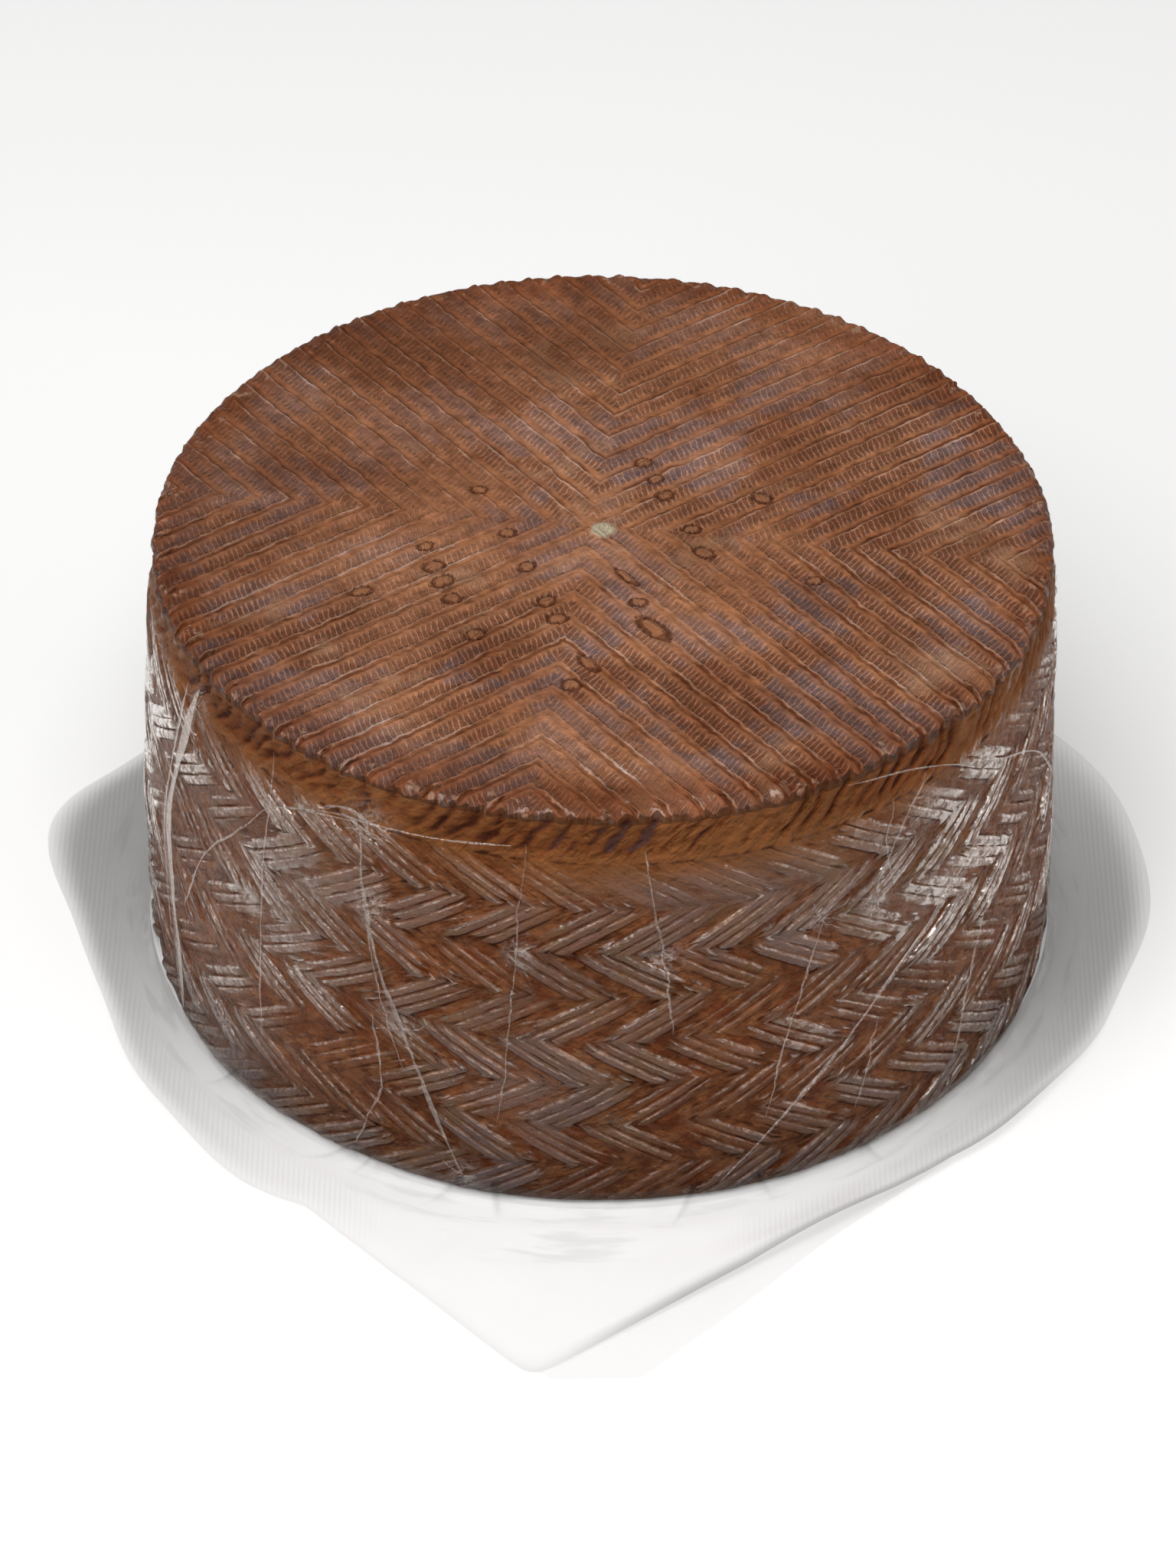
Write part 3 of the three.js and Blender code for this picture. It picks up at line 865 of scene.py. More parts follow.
def ribbed_rind():
    rind = Rind("ribbed_rind")
    place, blotch, speckle = rind.place, rind.blotch, rind.speckle
    ribs = add_node(rind.tree, "ShaderNodeGroup", {"Place": place}, node_tree=ladder)
    cell, rung, crest, groove, rib_height = (Field(socket) for socket in ribs.outputs)
    right, ahead, _ = parts(place)
    from_axis = place_maths("LENGTH", place_maths("MULTIPLY", place, (1, 1, 0)), output="Value")
    near_rim = step_up(from_axis, 0.062, 0.09)
    # The print is worn in patches, more so round the middle and towards the back.
    calm = step_up(from_axis, 0.06, 0.0)
    rubbed = 1 - 0.8 * step_up(noise(place, 62) + 0.13 * calm, 0.5, 0.62)
    towards_back = step_up(ahead - 0.5 * right, -0.005, 0.075)
    printed = 1 - 0.6 * step_up(blotch + 0.14 * calm, 0.46, 0.62)
    printed = printed * (1 - 0.45 * towards_back)
    broken = step_up(noise(place, 110), 0.44, 0.62)
    mauve_share = step_up(noise(place, 46) + 0.05 * near_rim, 0.47, 0.57)
    colour = blend(cell * printed, RAIL_ORANGE, blend(mauve_share, CELL_RED, CELL_MAUVE))
    colour = blend(rung * printed, colour, RUNG_TAN)
    # The crests are pale in broken runs, partly their own colour and partly a painted highlight that is
    # strongest near the rim.
    colour = blend(crest * (broken * (0.4 * near_rim + 0.6) + 0.08) * rubbed, colour, CREST_PALE_AND_GLINT)
    # Patches of painted highlight on the crests and rungs, more of them near the rim.
    glint_patches = step_up(noise(place, 30, 4, distortion=0.4), 0.54, 0.66) * (0.6 * near_rim + 0.4)
    colour = blend(glint_patches * (0.9 * crest + 0.35 * rung), colour, CREST_GLINT)
    colour = blend(mauve_share * (0.27 * printed), colour, MAUVE_HAZE)
    colour = blend(groove * rubbed * (1.05 * printed) * (0.45 * broken + 0.5), colour, GROOVE_RED)
    colour = blend(0.85, colour, ramp(noise(place, 420), (0.3, 0.7), (0.7, 1.3)), "MULTIPLY")
    smudge = step_up(noise(place, 55, 4, distortion=0.6), 0.58, 0.7)
    colour = blend(0.6 * smudge, colour, SMUDGE_TAN)
    patch = ramp(noise(place, 34, 4, 0.62), (0.38, PATCH_SHADE), (0.6, 1.3))
    colour = blend(0.85, colour, patch, "MULTIPLY")
    colour = blend(0.6 * towards_back, colour, BACK_SHADE, "MULTIPLY")
    colour = blend(step_up(right, -0.01, -0.07), colour, LEFT_SHADE, "MULTIPLY")
    # A dark ring round each pip, and the pale spot in the middle.
    pip_reach = place_maths("LENGTH", rind.attribute("pip_place", "Vector"), output="Value")
    pip_mask = rind.attribute("pip_mask")
    ring = 1 - step_up(abs(pip_reach + 0.9 * (speckle - 0.5) - 1.05), 0.06, 0.36)
    ring = ring * pip_mask
    colour = blend(0.8 * (step_up(pip_reach, 1.05, 0.85) * pip_mask), colour, RAIL_ORANGE)
    colour = blend(0.74 * ring, colour, DEEP_RED)
    from_spot = place_maths("LENGTH", place_maths("SUBTRACT", place, (0, 0, WHEEL_HEIGHT)), output="Value")
    colour = blend(step_up(from_spot + 0.002 * speckle, 0.0042, 0.0028), colour, PALE_SPOT)
    # The rim is darker, and painted highlights make the knobs pale where the ribs run out.
    rim_share = 0.8 * step_up(from_axis + 0.02 * blotch, 0.089, 0.102)
    colour = blend(rim_share, colour, RIM_SHADE, "MULTIPLY")
    lit_knob = rind.attribute("knob") * step_up(noise(place, 430, 2), 0.53, 0.64)
    colour = blend(0.6 * lit_knob, colour, KNOB_HIGHLIGHT)
    flat_face = rind.attribute("flat_face")
    colour = blend(flat_face, rind.paint_crevice_shade(rind.strip_colour()), colour)
    fine = bump(rind.fine_grain(), 1.0, GRAIN_DEPTH)
    relief = rib_height * flat_face * (0.7 * rubbed + 0.3) - 0.5 * ring
    return rind.finish(colour, bump(relief, 0.7, RIB_DEPTH, Normal=fine))

# %% Put the finishes on the wheel
ribbed = ribbed_rind()
wear(crown, ribbed)
wear(side, plaited_rind(), ribbed)
for face in side.data.polygons:
    face.material_index = int(face.normal.z < -0.9 and len(face.vertices) > 4)

# %% [markdown]
# ## The film over the wheel
#
# A vacuum draws the film into every strand, so it has the rind's own shape, a fraction of a
# millimetre outside it. It is made from a copy of the wheel, moved out along its normals. Then no
# point of the rind can poke through, which a separate smooth shell couldn't promise.

# %% Lay the film
FILM_GAP = 0.15 * MM
FILM_FLOOR = 0.02 * MM


def lay_film(rind_piece, name):
    make_active(rind_piece)
    bpy.ops.object.duplicate()
    film = bpy.context.object
    film.name = name
    bare = points_of(film)
    points = bare + FILM_GAP * normals_of(film)
    points[:, 2] = np.where(points[:, 2] < FILM_UNDER, FILM_FLOOR, points[:, 2])
    # The ring that side and top share moves straight out, so that both films still meet there.
    seam = np.abs(bare[:, 2] - PLAIT_TOP) < 0.01 * MM
    points[seam] = bare[seam]
    points[seam, :2] *= 1 + FILM_GAP / np.hypot(bare[seam, 0], bare[seam, 1])[:, None]
    place_points(film, points)
    print(name, triangle_count(film), "triangles")
    return film


film_side = lay_film(side, "bag_film_side")
film_top = lay_film(crown, "bag_film_top")

# %% [markdown]
# ## The film's finish
#
# The film is a tenth of a millimetre of clear plastic. It hardly bends light, so it needs no
# refraction: most light goes straight through, and the rest is mirrored, more so at a flat angle.
# A Mix Shader of Transparent and a pale metallic mirror does that, with Layer Weight's Facing as
# the angle. Where the film lies wet on the oily hollows it mirrors less than on the dry strands.

# %% Fine wrinkles, for every piece of film
wrinkle, group_in, group_out = new_group("film_wrinkles", {"Place": "Vector", "Scale": "Float"}, ("Height",))
broad = noise(Field(group_in.outputs["Place"]), Field(group_in.outputs["Scale"]), 3, 0.5, 0.8)
ridge = 1 - maths("MULTIPLY", abs(broad - 0.5), 4.0, clamp=True)
put_out(wrinkle, group_out, Height=maths("POWER", ridge, 3.0))


def wrinkles(place, scale):
    return field(place.tree, "ShaderNodeGroup", {"Place": place, "Scale": scale}, node_tree=wrinkle)

# %% The film's material
WRINKLE_DEPTH = 0.4 * MM
FILM_MIRROR = (0.98, 0.90, 0.84)


def clinging_share(place, mirrored, haze):
    """How much light the film mirrors where it clings to the rind."""
    slack, hollow, flat_face, overhang, apart, knotted, knob = (attribute(place.tree, name) for name in (
        "slack", "hollow", "flat_face", "overhang", "lifted", "knotted", "knob"))
    right, _, height = parts(place)
    below_strip = step_up(height, PLAIT_TOP + 2 * MM, PLAIT_TOP - 4 * MM)
    raised = 0.65 * step_up(height, 0.008, 0.035) + 0.35
    patches = noise(place, 260, 4)
    dry = 0.9 * step_up(hollow + 0.5 * patches, 0.85, 0.6) + 0.1
    dry = dry * step_up(flat_face, 1.6, 0.0) * (0.8 * below_strip + 0.2)
    loose = (0.7 * slack + 0.3) * ramp(noise(place, 560, 4), (0.4, 0.15), (0.58, 1.55))
    beads = step_up(noise(place, 800, 1), 0.5, 0.6)
    lip = step_up(overhang, -0.08, -0.38) * (0.13 * beads + 0.02) * below_strip * (1.3 * slack + 0.9) * raised
    share = (mirrored * loose * raised + haze + 0.04 * slack) * dry + lip
    share = share + slack * below_strip * (0.034 * step_up(right, -0.05, -0.085) + 0.009)
    shapes = noise(place, 340, 5, distortion=0.5) + 0.1 * apart
    share = share + 0.33 * (apart * (dry * step_up(shapes, 0.55, 0.59)))
    share = share + 0.28 * (wrinkles(place, 420) * knotted)
    return maths("ADD", share, 0.05 * (knob * step_up(patches, 0.5, 0.62)), clamp=True)


def film_material(name, haze, grazing, power, wrinkled, clear=0.995, dims=None, clings=False, rough=0.12):
    """Film that mirrors a share of haze and a share that grows with the angle, up to grazing.

    Wrinkled is the scale and strength of its wrinkles, and dims says how it dims what lies behind."""
    material, tree = new_tree(name)
    place = object_place(tree)
    scale, strength = wrinkled
    height = wrinkles(place, scale)
    if clings:
        height = 0.5 * height + noise(place, 700, 2)
    facing = field(tree, "ShaderNodeLayerWeight", {"Blend": 0.5}, "Facing")
    mirrored = grazing * maths("POWER", facing, power)
    share = clinging_share(place, mirrored, haze) if clings else maths("ADD", mirrored, haze, clamp=True)
    seen = (clear, clear, clear)
    if dims:
        seen = field(tree, "ShaderNodeCombineColor", dict(enumerate([1 - dims(place)] * 3)))
    through = field(tree, "ShaderNodeBsdfTransparent", {"Color": seen})
    gloss = field(tree, "ShaderNodeBsdfPrincipled", {
        "Base Color": FILM_MIRROR, "Metallic": 1.0, "Roughness": rough,
        "Normal": bump(height, strength, WRINKLE_DEPTH)})
    put_shader(tree, field(tree, "ShaderNodeMixShader", {0: share, 1: through, 2: gloss}))
    return material


clinging = film_material("clinging_film", 0.014, 1.3, 3.6, (60, 0.6), clings=True, rough=0.08)
wear(film_side, clinging)
wear(film_top, clinging)

# %% [markdown]
# ## The free margin
#
# Round the foot the two films of the bag meet and are welded, and their edge waves over the table.
# The upper one comes down off the wheel in a hollow curve, rises again in a rounded gutter and then
# runs out nearly flat. A tube of rings is extruded first, one ring for each step outwards on the
# upper film and back inwards on the lower one, and each ring is then laid where it belongs.

# %% Sizes of the margin
MARGIN_COLUMNS = 1080
UPPER_RINGS = 24
LOWER_RINGS = 14
MARGIN_INNER = 98.45 * MM
MARGIN_RISE = 4.2 * MM
MARGIN_RADIUS = 112 * MM
MARGIN_TIP = 149 * MM
CORNER_ROUND = 2.6 * MM
# A corner of the bag has two straight sides that touch the round margin: one side, tip and other
# side, in degrees. The front corner of the lower film lies a little to the right of the upper one's.
UPPER_CORNERS = ((-136.5, -95, -53.5), (50, 90, 130))
LOWER_CORNERS = ((-135, -90, -45), (50, 90, 130))
MARGIN_MIDDLE = 105 * MM
# Soft bulges of the edge, and where it lifts off the table: the heading in degrees, how far in mm,
# how wide in degrees, and how blunt.
BULGES = ((-132, 6, 16, 2), (169, 11.5, 14, 2), (10, 9.3, 32, 2))
LIFTS = ((-66, 3.0, 12, 2), (-38, 2.2, 14, 2), (-150, 2.2, 16, 2), (24, 2.6, 14, 2), (118, 2.4, 18, 2))
# Sharp creases that run out from the feet of the folds: degrees, length in mm, and how far aside a mm.
RAYS = ((-121, 8, -1.7), (-118, 5, -0.8), (-107, 7, -0.9), (-102.5, 8, 0.4), (-78.5, 9, -0.8), (-70, 5, 0.4),
        (-141, 6, -1.0), (-56, 6, 0.6), (60, 7, 0.3), (140, 6, -0.5))


def bells(angle, bumps):
    return sum(height * MM * np.exp(-np.abs(degrees_from(angle, at) / width) ** bluntness)
               for at, height, width, bluntness in bumps)


def edge_radius(angle, corners):
    waves = 0.6 * np.sin(9 * angle + 0.6) + 0.4 * np.sin(17 * angle + 2.1)
    radius = MARGIN_RADIUS + bells(angle, BULGES) + waves * MM
    for one_side, tip, other_side in corners:
        away = tip + degrees_from(angle, tip)
        sides = [MARGIN_RADIUS / np.cos(np.radians(np.clip(along, 0, 60)))
                 for along in (away - one_side, other_side - away)]
        pointed = -CORNER_ROUND * np.log(sum(np.exp(-side / CORNER_ROUND) for side in sides))
        radius = np.maximum(radius, pointed)
    return np.minimum(radius, MARGIN_TIP / np.maximum(np.abs(np.sin(angle)), 0.5))


def creased(angle, out):
    total = np.zeros_like(angle)
    for at, length, slant in RAYS:
        away = np.radians(degrees_from(angle, at)) * MARGIN_MIDDLE / MM
        away = away - slant * out / MM
        fading = smooth_step(length * MM, 0.1 * length * MM, out)
        total = np.maximum(total, np.exp(-(away / (0.35 + 0.35 * fading)) ** 2) * fading)
    return total


def edge_lift(angle):
    ripple = 0.5 * np.sin(7 * angle) + 0.4 * np.sin(13 * angle + 1)
    return np.clip(ripple, 0, None) * MM + bells(angle, LIFTS)


def lower_height(angle, share):
    return 0.05 * MM + edge_lift(angle) * smooth_step(0.3, 1.0, share) ** 1.5


def upper_height(angle, share):
    out = share * (edge_radius(angle, UPPER_CORNERS) - MARGIN_INNER)
    reach = angle * MARGIN_MIDDLE
    fillet = MARGIN_RISE * np.exp(-(out / (2.3 * MM)) ** 1.3)
    strong = 0.55 + 0.45 * soft_noise(reach, out, 60 * MM, 31)
    gutter = 1.5 * MM * np.clip(strong, 0.1, 1) * np.exp(-((out - 8.5 * MM) / (3.0 * MM)) ** 2)
    pucker = 0.35 * MM * soft_noise(6 * reach, out, 60 * MM, 32) * np.exp(-out / (7 * MM))
    wave = 0.45 * MM * smooth_step(-0.2, 1, soft_noise(reach, 1.5 * out, 34 * MM, 33))
    inner = fillet + (gutter + wave) * smooth_step(0, 5 * MM, out) + pucker * smooth_step(0, 2 * MM, out)
    inner += 0.7 * MM * creased(angle, out)
    free = smooth_step(1.0, 0.72, share)
    return lower_height(angle, share) + 0.18 * MM + np.clip(inner, 0, None) * free

# %% Extrude and lay the margin
bpy.ops.mesh.primitive_circle_add(vertices=MARGIN_COLUMNS, radius=MARGIN_INNER, fill_type="NOTHING")
margin = bpy.context.object
margin.name = "bag_margin"
bpy.ops.object.mode_set(mode="EDIT")
bpy.ops.mesh.select_all(action="SELECT")
for _ in range(UPPER_RINGS + LOWER_RINGS - 1):
    bpy.ops.mesh.extrude_region_move(TRANSFORM_OT_translate={"value": (0, 0, 1)})
bpy.ops.mesh.select_all(action="DESELECT")
bpy.ops.mesh.select_non_manifold()
bpy.ops.mesh.bridge_edge_loops()
bpy.ops.object.mode_set(mode="OBJECT")
points = points_of(margin)
ring = np.round(points[:, 2])
angle = np.arctan2(points[:, 1], points[:, 0])
going_out = ring < UPPER_RINGS
out_share = np.clip(ring / (UPPER_RINGS - 1), 0, 1) ** 1.25
tucked = ring == UPPER_RINGS
back_share = 1 - (ring - UPPER_RINGS - 1) / (LOWER_RINGS - 2)
share = np.where(going_out, out_share, np.minimum(back_share, 1))
edge = np.where(going_out | tucked, edge_radius(angle, UPPER_CORNERS), edge_radius(angle, LOWER_CORNERS))
reach = MARGIN_INNER + share * (edge - MARGIN_INNER)
points[:, 0] = reach * np.cos(angle)
points[:, 1] = reach * np.sin(angle)
lower = lower_height(angle, share) + 0.08 * MM * tucked
points[:, 2] = np.where(going_out, upper_height(angle, share), lower)
place_points(margin, points)
turn_faces_out()
bpy.ops.object.shade_smooth_by_angle(angle=math.radians(50))
print("margin", triangle_count(margin), "triangles")

# %% [markdown]
# Two thick films lie on each other here, so the margin is a little milky, most of all at both sides
# where it stands off the table, and there the dimming is also painted shade. Its edge is curled up at
# the front right, where painted shade shows it as a grey line, fine ribs are embossed across it, and
# stretched streaks run round the foot. Painted shade also darkens its creases and, a little, the part
# near the foot. All of these only dim what is seen through the film.

# %% The margin's finish
# Where the margin is milky and carries painted shade, and where the painted shade of its edge line is
# darkest: the heading in degrees, strength, width in degrees and bluntness.
MILKY_AND_SHADED = ((170, 1.3, 44, 2), (-8, 1.1, 36, 2))
CURLED = ((-60, 1.0, 30, 6),)
OUT_CORNER = -95

out = share * (edge - MARGIN_INNER)
curled = bells(angle, CURLED) / MM
# Painted shade makes a grey line along the edge, darkest where it is curled up at the front right.
edge_shade_line = smooth_step(0.93 - 0.09 * curled, 1.0, share) * (0.12 + 0.88 * curled)
past_corner = smooth_step(16, 26, np.abs(degrees_from(angle, OUT_CORNER)))
outer = smooth_step(0.3, 0.6, share) * smooth_step(1.0, 0.9, share) * past_corner
store_value(margin, "milky_and_shaded", bells(angle, MILKY_AND_SHADED) / MM * smooth_step(1.05, 0.7, share))
for name, values in (("edge_shade_line", edge_shade_line), ("creased", creased(angle, out)),
                     ("inner", smooth_step(0.6, 0.25, share)), ("outer", outer)):
    store_value(margin, name, values * going_out)
store_place(margin, "round_place", np.stack([0.12 * MARGIN_MIDDLE * angle, out, 0 * ring], axis=1))


def margin_dimming(place):
    milky_and_shaded, edge_shade_line, creased, inner, outer = (attribute(place.tree, name) for name in (
        "milky_and_shaded", "edge_shade_line", "creased", "inner", "outer"))
    streaks = step_up(noise(attribute(place.tree, "round_place", "Vector"), 420), 0.5, 0.66)
    ribs = field(place.tree, "ShaderNodeTexWave", {"Vector": place, "Scale": 285}, "Fac", bands_direction="X")
    # The clouding is partly the films' milkiness and partly painted shade: at both sides, along the edge,
    # near the foot and, below, in the creases.
    clouded = 0.155 * milky_and_shaded + 0.027 + 0.4 * edge_shade_line + 0.012 * inner
    return clouded + 0.05 * (ribs * outer) + 0.2 * creased + 0.07 * (inner * streaks)


wear(margin, film_material("loose_film", 0.008, 0.5, 3.0, (45, 0.3), dims=margin_dimming))

# %% [markdown]
# ## The folds
#
# Where the film had too much width it stands up in thin folds that run down the side. Each one is a
# ridge with a sharp back: a six-sided rod, cut into rings along its length, and laid along its path
# with the rings flattened against the wheel and thinned out to both ends.

# %% Paths of the folds
# Corners of the path in degrees to the right of the front and height in mm, then the fold's
# half-width and how far it stands out, in mm before it is drawn tight.
FOLDS = (
    (((-59.5, 97), (-65.5, 70), (-68.5, 51), (-66, 25), (-64.8, 5)), 2.6, 1.3),
    (((-62.5, 96), (-67.5, 68), (-70, 48), (-68, 24)), 0.6, 0.6),
    (((-43.9, 97), (-45.5, 60), (-45.9, 20)), 0.35, 0.5),
    (((-30.3, 89), (-29.6, 72), (-27.5, 55), (-24.6, 41), (-20, 20), (-16, 3)), 1.0, 0.9),
    (((-29, 72), (-28.5, 58), (-26.3, 41), (-24, 30)), 0.35, 0.5),
    (((-28.3, 43), (-27.6, 30), (-27.9, 20), (-31.2, 4)), 0.5, 0.6),
    (((-9, 95), (-9.4, 80), (-9.8, 64), (-11, 44), (-12.3, 21)), 0.35, 0.45),
    (((5.3, 94), (6.4, 80), (7.4, 68), (8.4, 56), (9, 46)), 0.45, 0.55),
    (((27.9, 70), (26.6, 60), (24.6, 48), (22.3, 34), (20.5, 19)), 0.45, 0.55),
    (((52.5, 67), (45, 56), (36.9, 45), (27, 27), (14.8, 4)), 0.75, 0.8),
    (((50, 66), (43, 54), (35.5, 43)), 0.35, 0.5),
    (((43.5, 94), (39, 82), (35.3, 70)), 0.4, 0.5),
    (((38, 92), (37.2, 80), (38, 70)), 0.3, 0.4),
    (((36.1, 37), (34.3, 26), (32.8, 14)), 0.35, 0.45),
    (((54.9, 46), (52, 30), (49.2, 11)), 0.45, 0.5),
    (((31.2, 100), (42.6, 95.5), (57.4, 83), (69.7, 71), (81.2, 48)), 0.55, 0.6),
    (((-29.5, 91), (-42.6, 84.5), (-49.2, 73), (-57.4, 57), (-63.1, 36)), 0.45, 0.5),
    (((-42.6, 84.5), (-34, 90), (-28.7, 91), (-19, 92.5), (-10.7, 94)), 0.5, 0.6),
    (((-36.5, 89.5), (-32, 92.5), (-27, 90.5)), 0.8, 0.9),
)
# The back of the wheel carries folds too, drawn at random but seeded.
back_draw = np.random.default_rng(11)
BACK_FOLDS = 11
BACK_START, BACK_SPAN = 100, 160
SKIN_RADIUS = 96


def back_folds(count):
    folds = []
    for index in range(count):
        at = BACK_START + BACK_SPAN * (index + back_draw.uniform(0.1, 0.9)) / count
        lean = back_draw.uniform(-9, 9)
        top = back_draw.uniform(60, 97)
        bottom = back_draw.uniform(4, 30)
        middle = (top + bottom) / 2
        bow = back_draw.uniform(-3, 3)
        path = ((at, top), (at + lean / 2 + bow, middle), (at + lean, bottom))
        folds.append((path, back_draw.uniform(0.35, 0.8), back_draw.uniform(0.4, 0.8)))
    return folds


def knot_creases():
    """Short creases that fan out from the knots."""
    creases = []
    for at, height, count in KNOTS:
        for _ in range(count):
            heading = back_draw.uniform(0, TURN)
            length = back_draw.uniform(2, 7)
            aside = math.degrees(length * math.cos(heading) / SKIN_RADIUS)
            above = length * math.sin(heading)
            path = ((at, height), (at + 0.6 * aside, height + 0.5 * above), (at + aside, height + above))
            creases.append((path, back_draw.uniform(0.12, 0.25), back_draw.uniform(0.2, 0.4)))
    return creases

# %% Lay the folds
FOLD_STEPS = 40
FOLD_TIGHT = (0.55, 0.6)
FOLD_TAPER = 0.18
FOLD_LIFT = 0.1 * MM
FOLD_WANDER = 0.084
PATH_STEPS = 24
FOLD_SECTION = ((-1, -0.35), (-0.35, 0.3), (0, 1), (0.35, 0.3), (1, -0.35), (0, -0.5))


def smooth_path(corners, count):
    """Evenly spaced points on a smooth curve through the corners."""
    corners = np.array(corners, float)
    padded = np.vstack([2 * corners[0] - corners[1], corners, 2 * corners[-1] - corners[-2]])
    line = []
    for index in range(1, len(padded) - 2):
        before, start, end, after = padded[index - 1:index + 3]
        for step in np.linspace(0, 1, PATH_STEPS, endpoint=False):
            line.append(0.5 * (2 * start + (end - before) * step
                               + (2 * before - 5 * start + 4 * end - after) * step ** 2
                               + (3 * start - before - 3 * end + after) * step ** 3))
    line = np.array(line + [corners[-1]])
    length = np.concatenate([[0], np.cumsum(np.linalg.norm(np.diff(line, axis=0), axis=1))])
    spaced = np.linspace(0, length[-1], count)
    return np.stack([np.interp(spaced, length, line[:, axis]) for axis in range(2)], axis=1)


def skin_point(degrees, height, lift):
    """A point off the crests of the side, from degrees to the right of the front and height in mm."""
    angle = np.radians(degrees - 90)
    z = np.clip(height, 1.5, None) * MM
    over = np.clip(z - EDGE_TOP, 0, 0.97 * RIM_ROUND)
    inset = RIM_ROUND - np.sqrt(RIM_ROUND ** 2 - over ** 2)
    radius = side_radius(z) - inset - foot_inset(z) + lift
    return np.stack([radius * np.cos(angle), radius * np.sin(angle), z], axis=-1)


def cut_rod(name):
    """A six-sided rod along Z, cut into rings. It gives its points and each one's step along it."""
    bpy.ops.mesh.primitive_cylinder_add(vertices=len(FOLD_SECTION), radius=1, depth=1, end_fill_type="TRIFAN")
    rod = bpy.context.object
    rod.name = name
    ends = points_of(rod)[:, 2]
    for elements in (rod.data.vertices, rod.data.polygons):
        elements.foreach_set("select", np.zeros(len(elements), bool))
    upright = [abs(np.diff(ends[list(edge.vertices)])[0]) > 0.5 for edge in rod.data.edges]
    rod.data.edges.foreach_set("select", upright)
    # In vertex mode both end rings would be selected too, and their edges cut as well.
    bpy.context.tool_settings.mesh_select_mode = (False, True, False)
    bpy.ops.object.mode_set(mode="EDIT")
    bpy.ops.mesh.subdivide(number_cuts=FOLD_STEPS - 1)
    bpy.ops.mesh.select_mode(type="VERT")
    bpy.ops.object.mode_set(mode="OBJECT")
    points = points_of(rod)
    return rod, points, np.round((points[:, 2] + 0.5) * FOLD_STEPS).astype(int)


def add_fold(corners, half_width, rise, name):
    half_width, rise = FOLD_TIGHT[0] * half_width, FOLD_TIGHT[1] * rise
    fold, points, step = cut_rod(name)
    path = smooth_path(corners, FOLD_STEPS + 1)
    wander = np.cumsum(back_draw.normal(0, FOLD_WANDER, FOLD_STEPS + 1))
    path[:, 0] += wander - np.linspace(wander[0], wander[-1], FOLD_STEPS + 1)
    centre = skin_point(path[:, 0], path[:, 1], 0)
    outward = skin_point(path[:, 0], path[:, 1], 1 * MM) - centre
    outward /= np.linalg.norm(outward, axis=1)[:, None]
    forward = np.gradient(centre, axis=0)
    forward /= np.linalg.norm(forward, axis=1)[:, None]
    aside = np.cross(forward, outward)
    share = np.linspace(0, 1, FOLD_STEPS + 1)
    taper = np.sqrt(np.clip(np.minimum(share, 1 - share) / FOLD_TAPER, 0.02, 1))
    taper *= 0.8 + 0.3 * np.sin(TURN * (share * back_draw.uniform(2, 4) + back_draw.uniform(0, 1)))
    sides = len(FOLD_SECTION)
    corner = np.round(np.arctan2(points[:, 1], points[:, 0]) / (TURN / sides) - 0.5).astype(int) % sides
    hub = np.hypot(points[:, 0], points[:, 1]) < 0.1
    section = np.array(FOLD_SECTION)[corner]
    section[hub] = (0, 0)
    spread = (section[:, 0] * half_width * MM * taper[step])[:, None] * aside[step]
    stand = (section[:, 1] * rise * MM * taper[step] + FOLD_LIFT)[:, None] * outward[step]
    place_points(fold, centre[step] + spread + stand)
    return fold


all_folds = [*FOLDS, *back_folds(BACK_FOLDS), *knot_creases()]
pieces = [add_fold(*fold, name=f"fold_{index}") for index, fold in enumerate(all_folds)]
bpy.ops.object.select_all(action="DESELECT")
for piece in pieces:
    piece.select_set(True)
bpy.context.view_layer.objects.active = pieces[0]
bpy.ops.object.join()
folds = bpy.context.object
folds.name = "bag_folds"
turn_faces_out()
bpy.ops.object.transform_apply(location=True, rotation=True, scale=True)
wear(folds, film_material("folded_film", 0.085, 0.8, 2.2, (500, 0.5), clear=0.97))
print("folds", len(all_folds), "pieces,", triangle_count(folds), "triangles")

# %% [markdown]
# ## The frame's rules
#
# Every piece rides on the one body, and the solid of the frame that it stands for is hidden.

# %% Attach the pieces and hide the frame's solids
for piece, node, slot in ((side, "cheese_wheel", "rind"), (crown, "cheese_wheel", "rind"),
                          (film_side, "vacuum_bag", "film"), (film_top, "vacuum_bag", "film"),
                          (margin, "vacuum_bag", "film"), (folds, "vacuum_bag", "film")):
    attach(piece, "root")
    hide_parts(node)

# %% [markdown]
# ## The table and the light
#
# The wheel stands on a white table under large soft lights, with the room behind the lights dim.
# The bright table is what the film on the side mirrors, and the dim room is what the top mirrors.
# Light that bounces off so white a table would fill every crevice, so the table gives less of it
# back to what stands on it.

# %% The table
bpy.ops.mesh.primitive_plane_add(size=8, location=(0, 0, -0.2 * MM))
table = bpy.context.object
table.name = "table"
white, tree = new_tree("white_table")
bounced = field(tree, "ShaderNodeLightPath", (), "Is Diffuse Ray")
seen = field(tree, "ShaderNodeLightPath", (), "Is Camera Ray")
put_shader(tree, field(tree, "ShaderNodeBsdfPrincipled", {
    "Base Color": blend(bounced, (0.96, 0.96, 0.96), (0.35, 0.34, 0.33)), "Roughness": 0.7,
    "Specular IOR Level": 0.1, "Emission Color": (1, 1, 1), "Emission Strength": 0.1 * seen}))
wear(table, white)

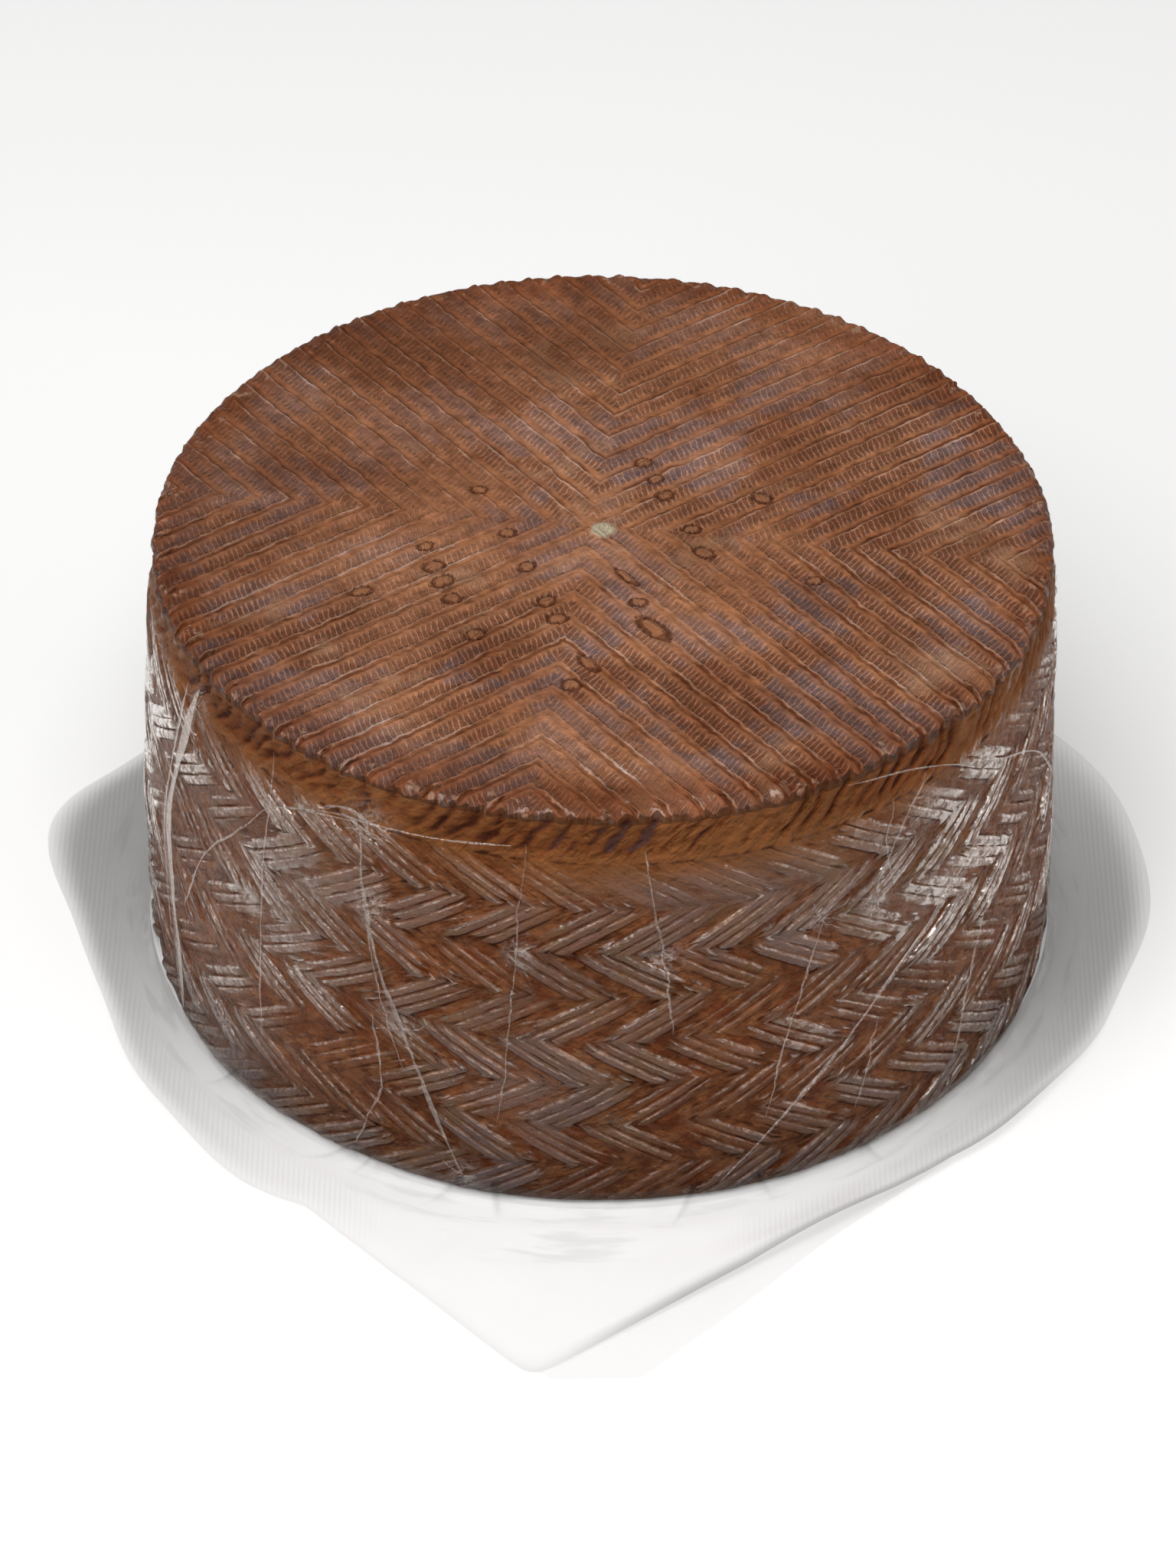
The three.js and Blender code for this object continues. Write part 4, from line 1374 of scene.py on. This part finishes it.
# %% Lights
def add_softbox(name, at, towards, size, power):
    """A soft light of that size in metres and power in watts, aimed at a point."""
    light = bpy.data.lights.new(name, "AREA")
    light.shape = "RECTANGLE"
    light.size, light.size_y = size
    light.energy = power
    box = bpy.data.objects.new(name, light)
    bpy.context.scene.collection.objects.link(box)
    box.location = at
    box.rotation_euler = (Vector(towards) - Vector(at)).to_track_quat("-Z", "Y").to_euler()


add_softbox("overhead", (-0.25, -0.55, 1.4), (0, 0, 0.05), (1.3, 1.3), 21.2)
add_softbox("front_left", (-1.1, -1.4, 1.0), (0, 0, 0.05), (0.9, 0.9), 5.7)
add_softbox("right_low", (1.45, -0.3, 0.6), (0, 0, 0.03), (1.2, 0.9), 6.2)

world = bpy.data.worlds.new("room")
world.use_nodes = True
bpy.context.scene.world = world
room = world.node_tree
room.nodes.clear()
dim = field(room, "ShaderNodeBackground", {"Color": (1.0, 0.98, 0.96), "Strength": 0.18})
bright = field(room, "ShaderNodeBackground", {"Color": (1, 1, 1), "Strength": 1.0})
seen = field(room, "ShaderNodeLightPath", (), "Is Camera Ray")
put_shader(room, field(room, "ShaderNodeMixShader", {0: seen, 1: dim, 2: bright}), "ShaderNodeOutputWorld")
bpy.context.scene.view_settings.view_transform = "Standard"

# %% [markdown]
# ## The camera
#
# A long lens looks down on the wheel from the front, so its top reads as a wide ellipse.

# %% The camera
CAMERA_ACROSS = -2.632 * MM
CAMERA_AIM_HEIGHT = 33.445 * MM
CAMERA_DISTANCE = 1379.02 * MM
CAMERA_ELEVATION = math.radians(39.214)
CAMERA_ROLL = math.radians(0.476)

aim = Vector((CAMERA_ACROSS, 0, CAMERA_AIM_HEIGHT))
back = Vector((0, -math.cos(CAMERA_ELEVATION), math.sin(CAMERA_ELEVATION)))
camera_data = bpy.data.cameras.new("camera")
camera_data.lens = 146.31
camera_data.sensor_width = 36
camera = bpy.data.objects.new("camera", camera_data)
bpy.context.scene.collection.objects.link(camera)
turned = (-back).to_track_quat("-Z", "Y").to_matrix() @ Matrix.Rotation(CAMERA_ROLL, 3, "Z")
camera.matrix_world = Matrix.Translation(aim + CAMERA_DISTANCE * back) @ turned.to_4x4()
bpy.context.scene.camera = camera
